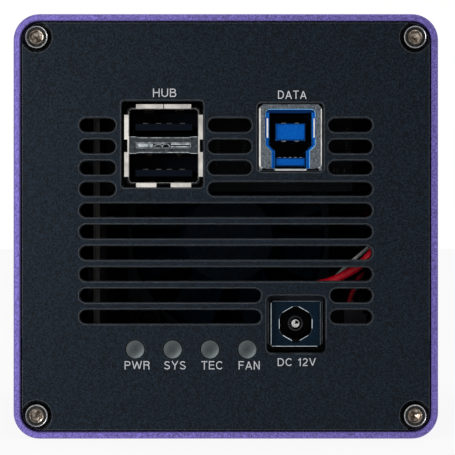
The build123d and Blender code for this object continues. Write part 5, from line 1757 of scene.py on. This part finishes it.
class GUIDECAMERA_OT_stage(Operator):
    """Sets up the floor, the lamps and the view"""

    bl_idname = "guide_camera.stage"
    bl_label = "Set the stage"

    def execute(self, context):
        scene = context.scene
        scene.view_settings.view_transform = "Standard"
        self.floor(cad_box[0].z)
        self.room()
        self.lamp("Main lamp", MAIN_LAMP, MAIN_LAMP_SIZE, studio().key_power)
        self.lamp("Second lamp", SECOND_LAMP, SECOND_LAMP_SIZE, studio().fill_power)
        data = bpy.data.cameras.new("View")
        data.sensor_width = 36.0
        data.lens = studio().focal_length
        data.clip_start = 0.01
        data.clip_end = 20.0
        view = bpy.data.objects.new("View", data)
        view.location = (VIEW_RIGHT, cad_box[0].y - studio().distance, VIEW_UP)
        view.rotation_euler = (math.pi / 2, 0.0, 0.0)
        scene.collection.objects.link(view)
        scene.camera = view
        return {"FINISHED"}

    def lamp(self, name, place, size, power):
        """A round lamp that shines at the middle of the camera body."""
        low, high = cad_box
        x, y, z = place
        place = Vector((x, low.y + y, z))
        data = bpy.data.lights.new(name, "AREA")
        data.shape = "DISK"
        data.size = size
        data.energy = power
        lamp = bpy.data.objects.new(name, data)
        lamp.location = place
        lamp.rotation_euler = ((low + high) / 2 - place).to_track_quat("-Z", "Y").to_euler()
        bpy.context.scene.collection.objects.link(lamp)

    def floor(self, height):
        """A wide sheet of white paper, which the view and reflections see evenly lit."""
        mesh = bmesh.new()
        bmesh.ops.create_grid(mesh, x_segments=12, y_segments=12, size=FLOOR_HALF)
        for vertex in mesh.verts:
            vertex.co.z = height
        data = bpy.data.meshes.new("floor")
        mesh.to_mesh(data)
        mesh.free()
        finish = Finish("Studio floor", specular=0.1)
        paper = finish.noise(0.6, detail=3.0)
        finish.mottled(screen(246, 246, 246), paper, 0.01)
        finish.rough(paper, 0.8, 0.9)
        glow = finish.node("ShaderNodeEmission").outputs["Emission"]
        seen = finish.maths("MAXIMUM", *finish.rays())
        share = finish.spread(seen, 0.0, FLOOR_GLOW, 0.0, 1.0)
        finish.shine(share, finish.shader.outputs["BSDF"], glow, "Material Output")
        data.materials.append(finish.material)
        floor = bpy.data.objects.new("floor", data)
        bpy.context.scene.collection.objects.link(floor)

    def room(self):
        """Even light, with a white wall behind the camera body for the lens and reflections."""
        world = bpy.data.worlds.new("Studio room")
        world.use_nodes = True
        bpy.context.scene.world = world
        nodes = Nodes(world.node_tree, "Generated")
        even = nodes.tree.nodes["Background"]
        even.inputs["Strength"].default_value = studio().ambient
        even.inputs["Color"].default_value = (1.0, 1.0, 1.0, 1.0)
        white = nodes.node("ShaderNodeBackground", {"Color": (1.0, 1.0, 1.0)}).outputs["Background"]
        wall = nodes.spread(nodes.axes()["Y"], 0.0, 1.0, -0.2, 0.3)
        seen, reflected = nodes.rays()
        share = nodes.maths("MAXIMUM", seen, nodes.maths("MULTIPLY", reflected, wall))
        nodes.shine(share, even.outputs["Background"], white, "World Output")


OPERATORS = (
    GUIDECAMERA_OT_finishes,
    GUIDECAMERA_OT_corner_screws,
    GUIDECAMERA_OT_hub_port,
    GUIDECAMERA_OT_data_port,
    GUIDECAMERA_OT_power_jack,
    GUIDECAMERA_OT_legends,
    GUIDECAMERA_OT_front,
    GUIDECAMERA_OT_boards,
    GUIDECAMERA_OT_stage,
)


class GUIDECAMERA_PT_panel(Panel):
    """The guide camera's settings and steps"""

    bl_idname = "GUIDECAMERA_PT_panel"
    bl_label = "Guide camera"
    bl_space_type = "VIEW_3D"
    bl_region_type = "UI"
    bl_category = "Guide camera"

    def draw(self, context):
        layout = self.layout
        for group in (colours(), sizes(), studio()):
            column = layout.column(align=True)
            for name in group.__annotations__:
                column.prop(group, name)
        for operator in OPERATORS:
            layout.operator(operator.bl_idname)


CLASSES = (
    GuideCameraColours,
    GuideCameraSizes,
    GuideCameraStudio,
    *OPERATORS,
    GUIDECAMERA_PT_panel,
)


def register():
    for cls in CLASSES:
        bpy.utils.register_class(cls)
    bpy.types.Scene.guide_camera_colours = PointerProperty(type=GuideCameraColours)
    bpy.types.Scene.guide_camera_sizes = PointerProperty(type=GuideCameraSizes)
    bpy.types.Scene.guide_camera_studio = PointerProperty(type=GuideCameraStudio)


def unregister():
    del bpy.types.Scene.guide_camera_studio
    del bpy.types.Scene.guide_camera_sizes
    del bpy.types.Scene.guide_camera_colours
    for cls in reversed(CLASSES):
        bpy.utils.unregister_class(cls)


def main():
    """Registers the add-on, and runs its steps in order."""
    register()
    bpy.ops.guide_camera.finishes()
    bpy.ops.guide_camera.corner_screws()
    bpy.ops.guide_camera.hub_port()
    bpy.ops.guide_camera.data_port()
    bpy.ops.guide_camera.power_jack()
    bpy.ops.guide_camera.legends()
    bpy.ops.guide_camera.front()
    bpy.ops.guide_camera.boards()
    bpy.ops.guide_camera.stage()


if __name__ == "__main__":
    main()
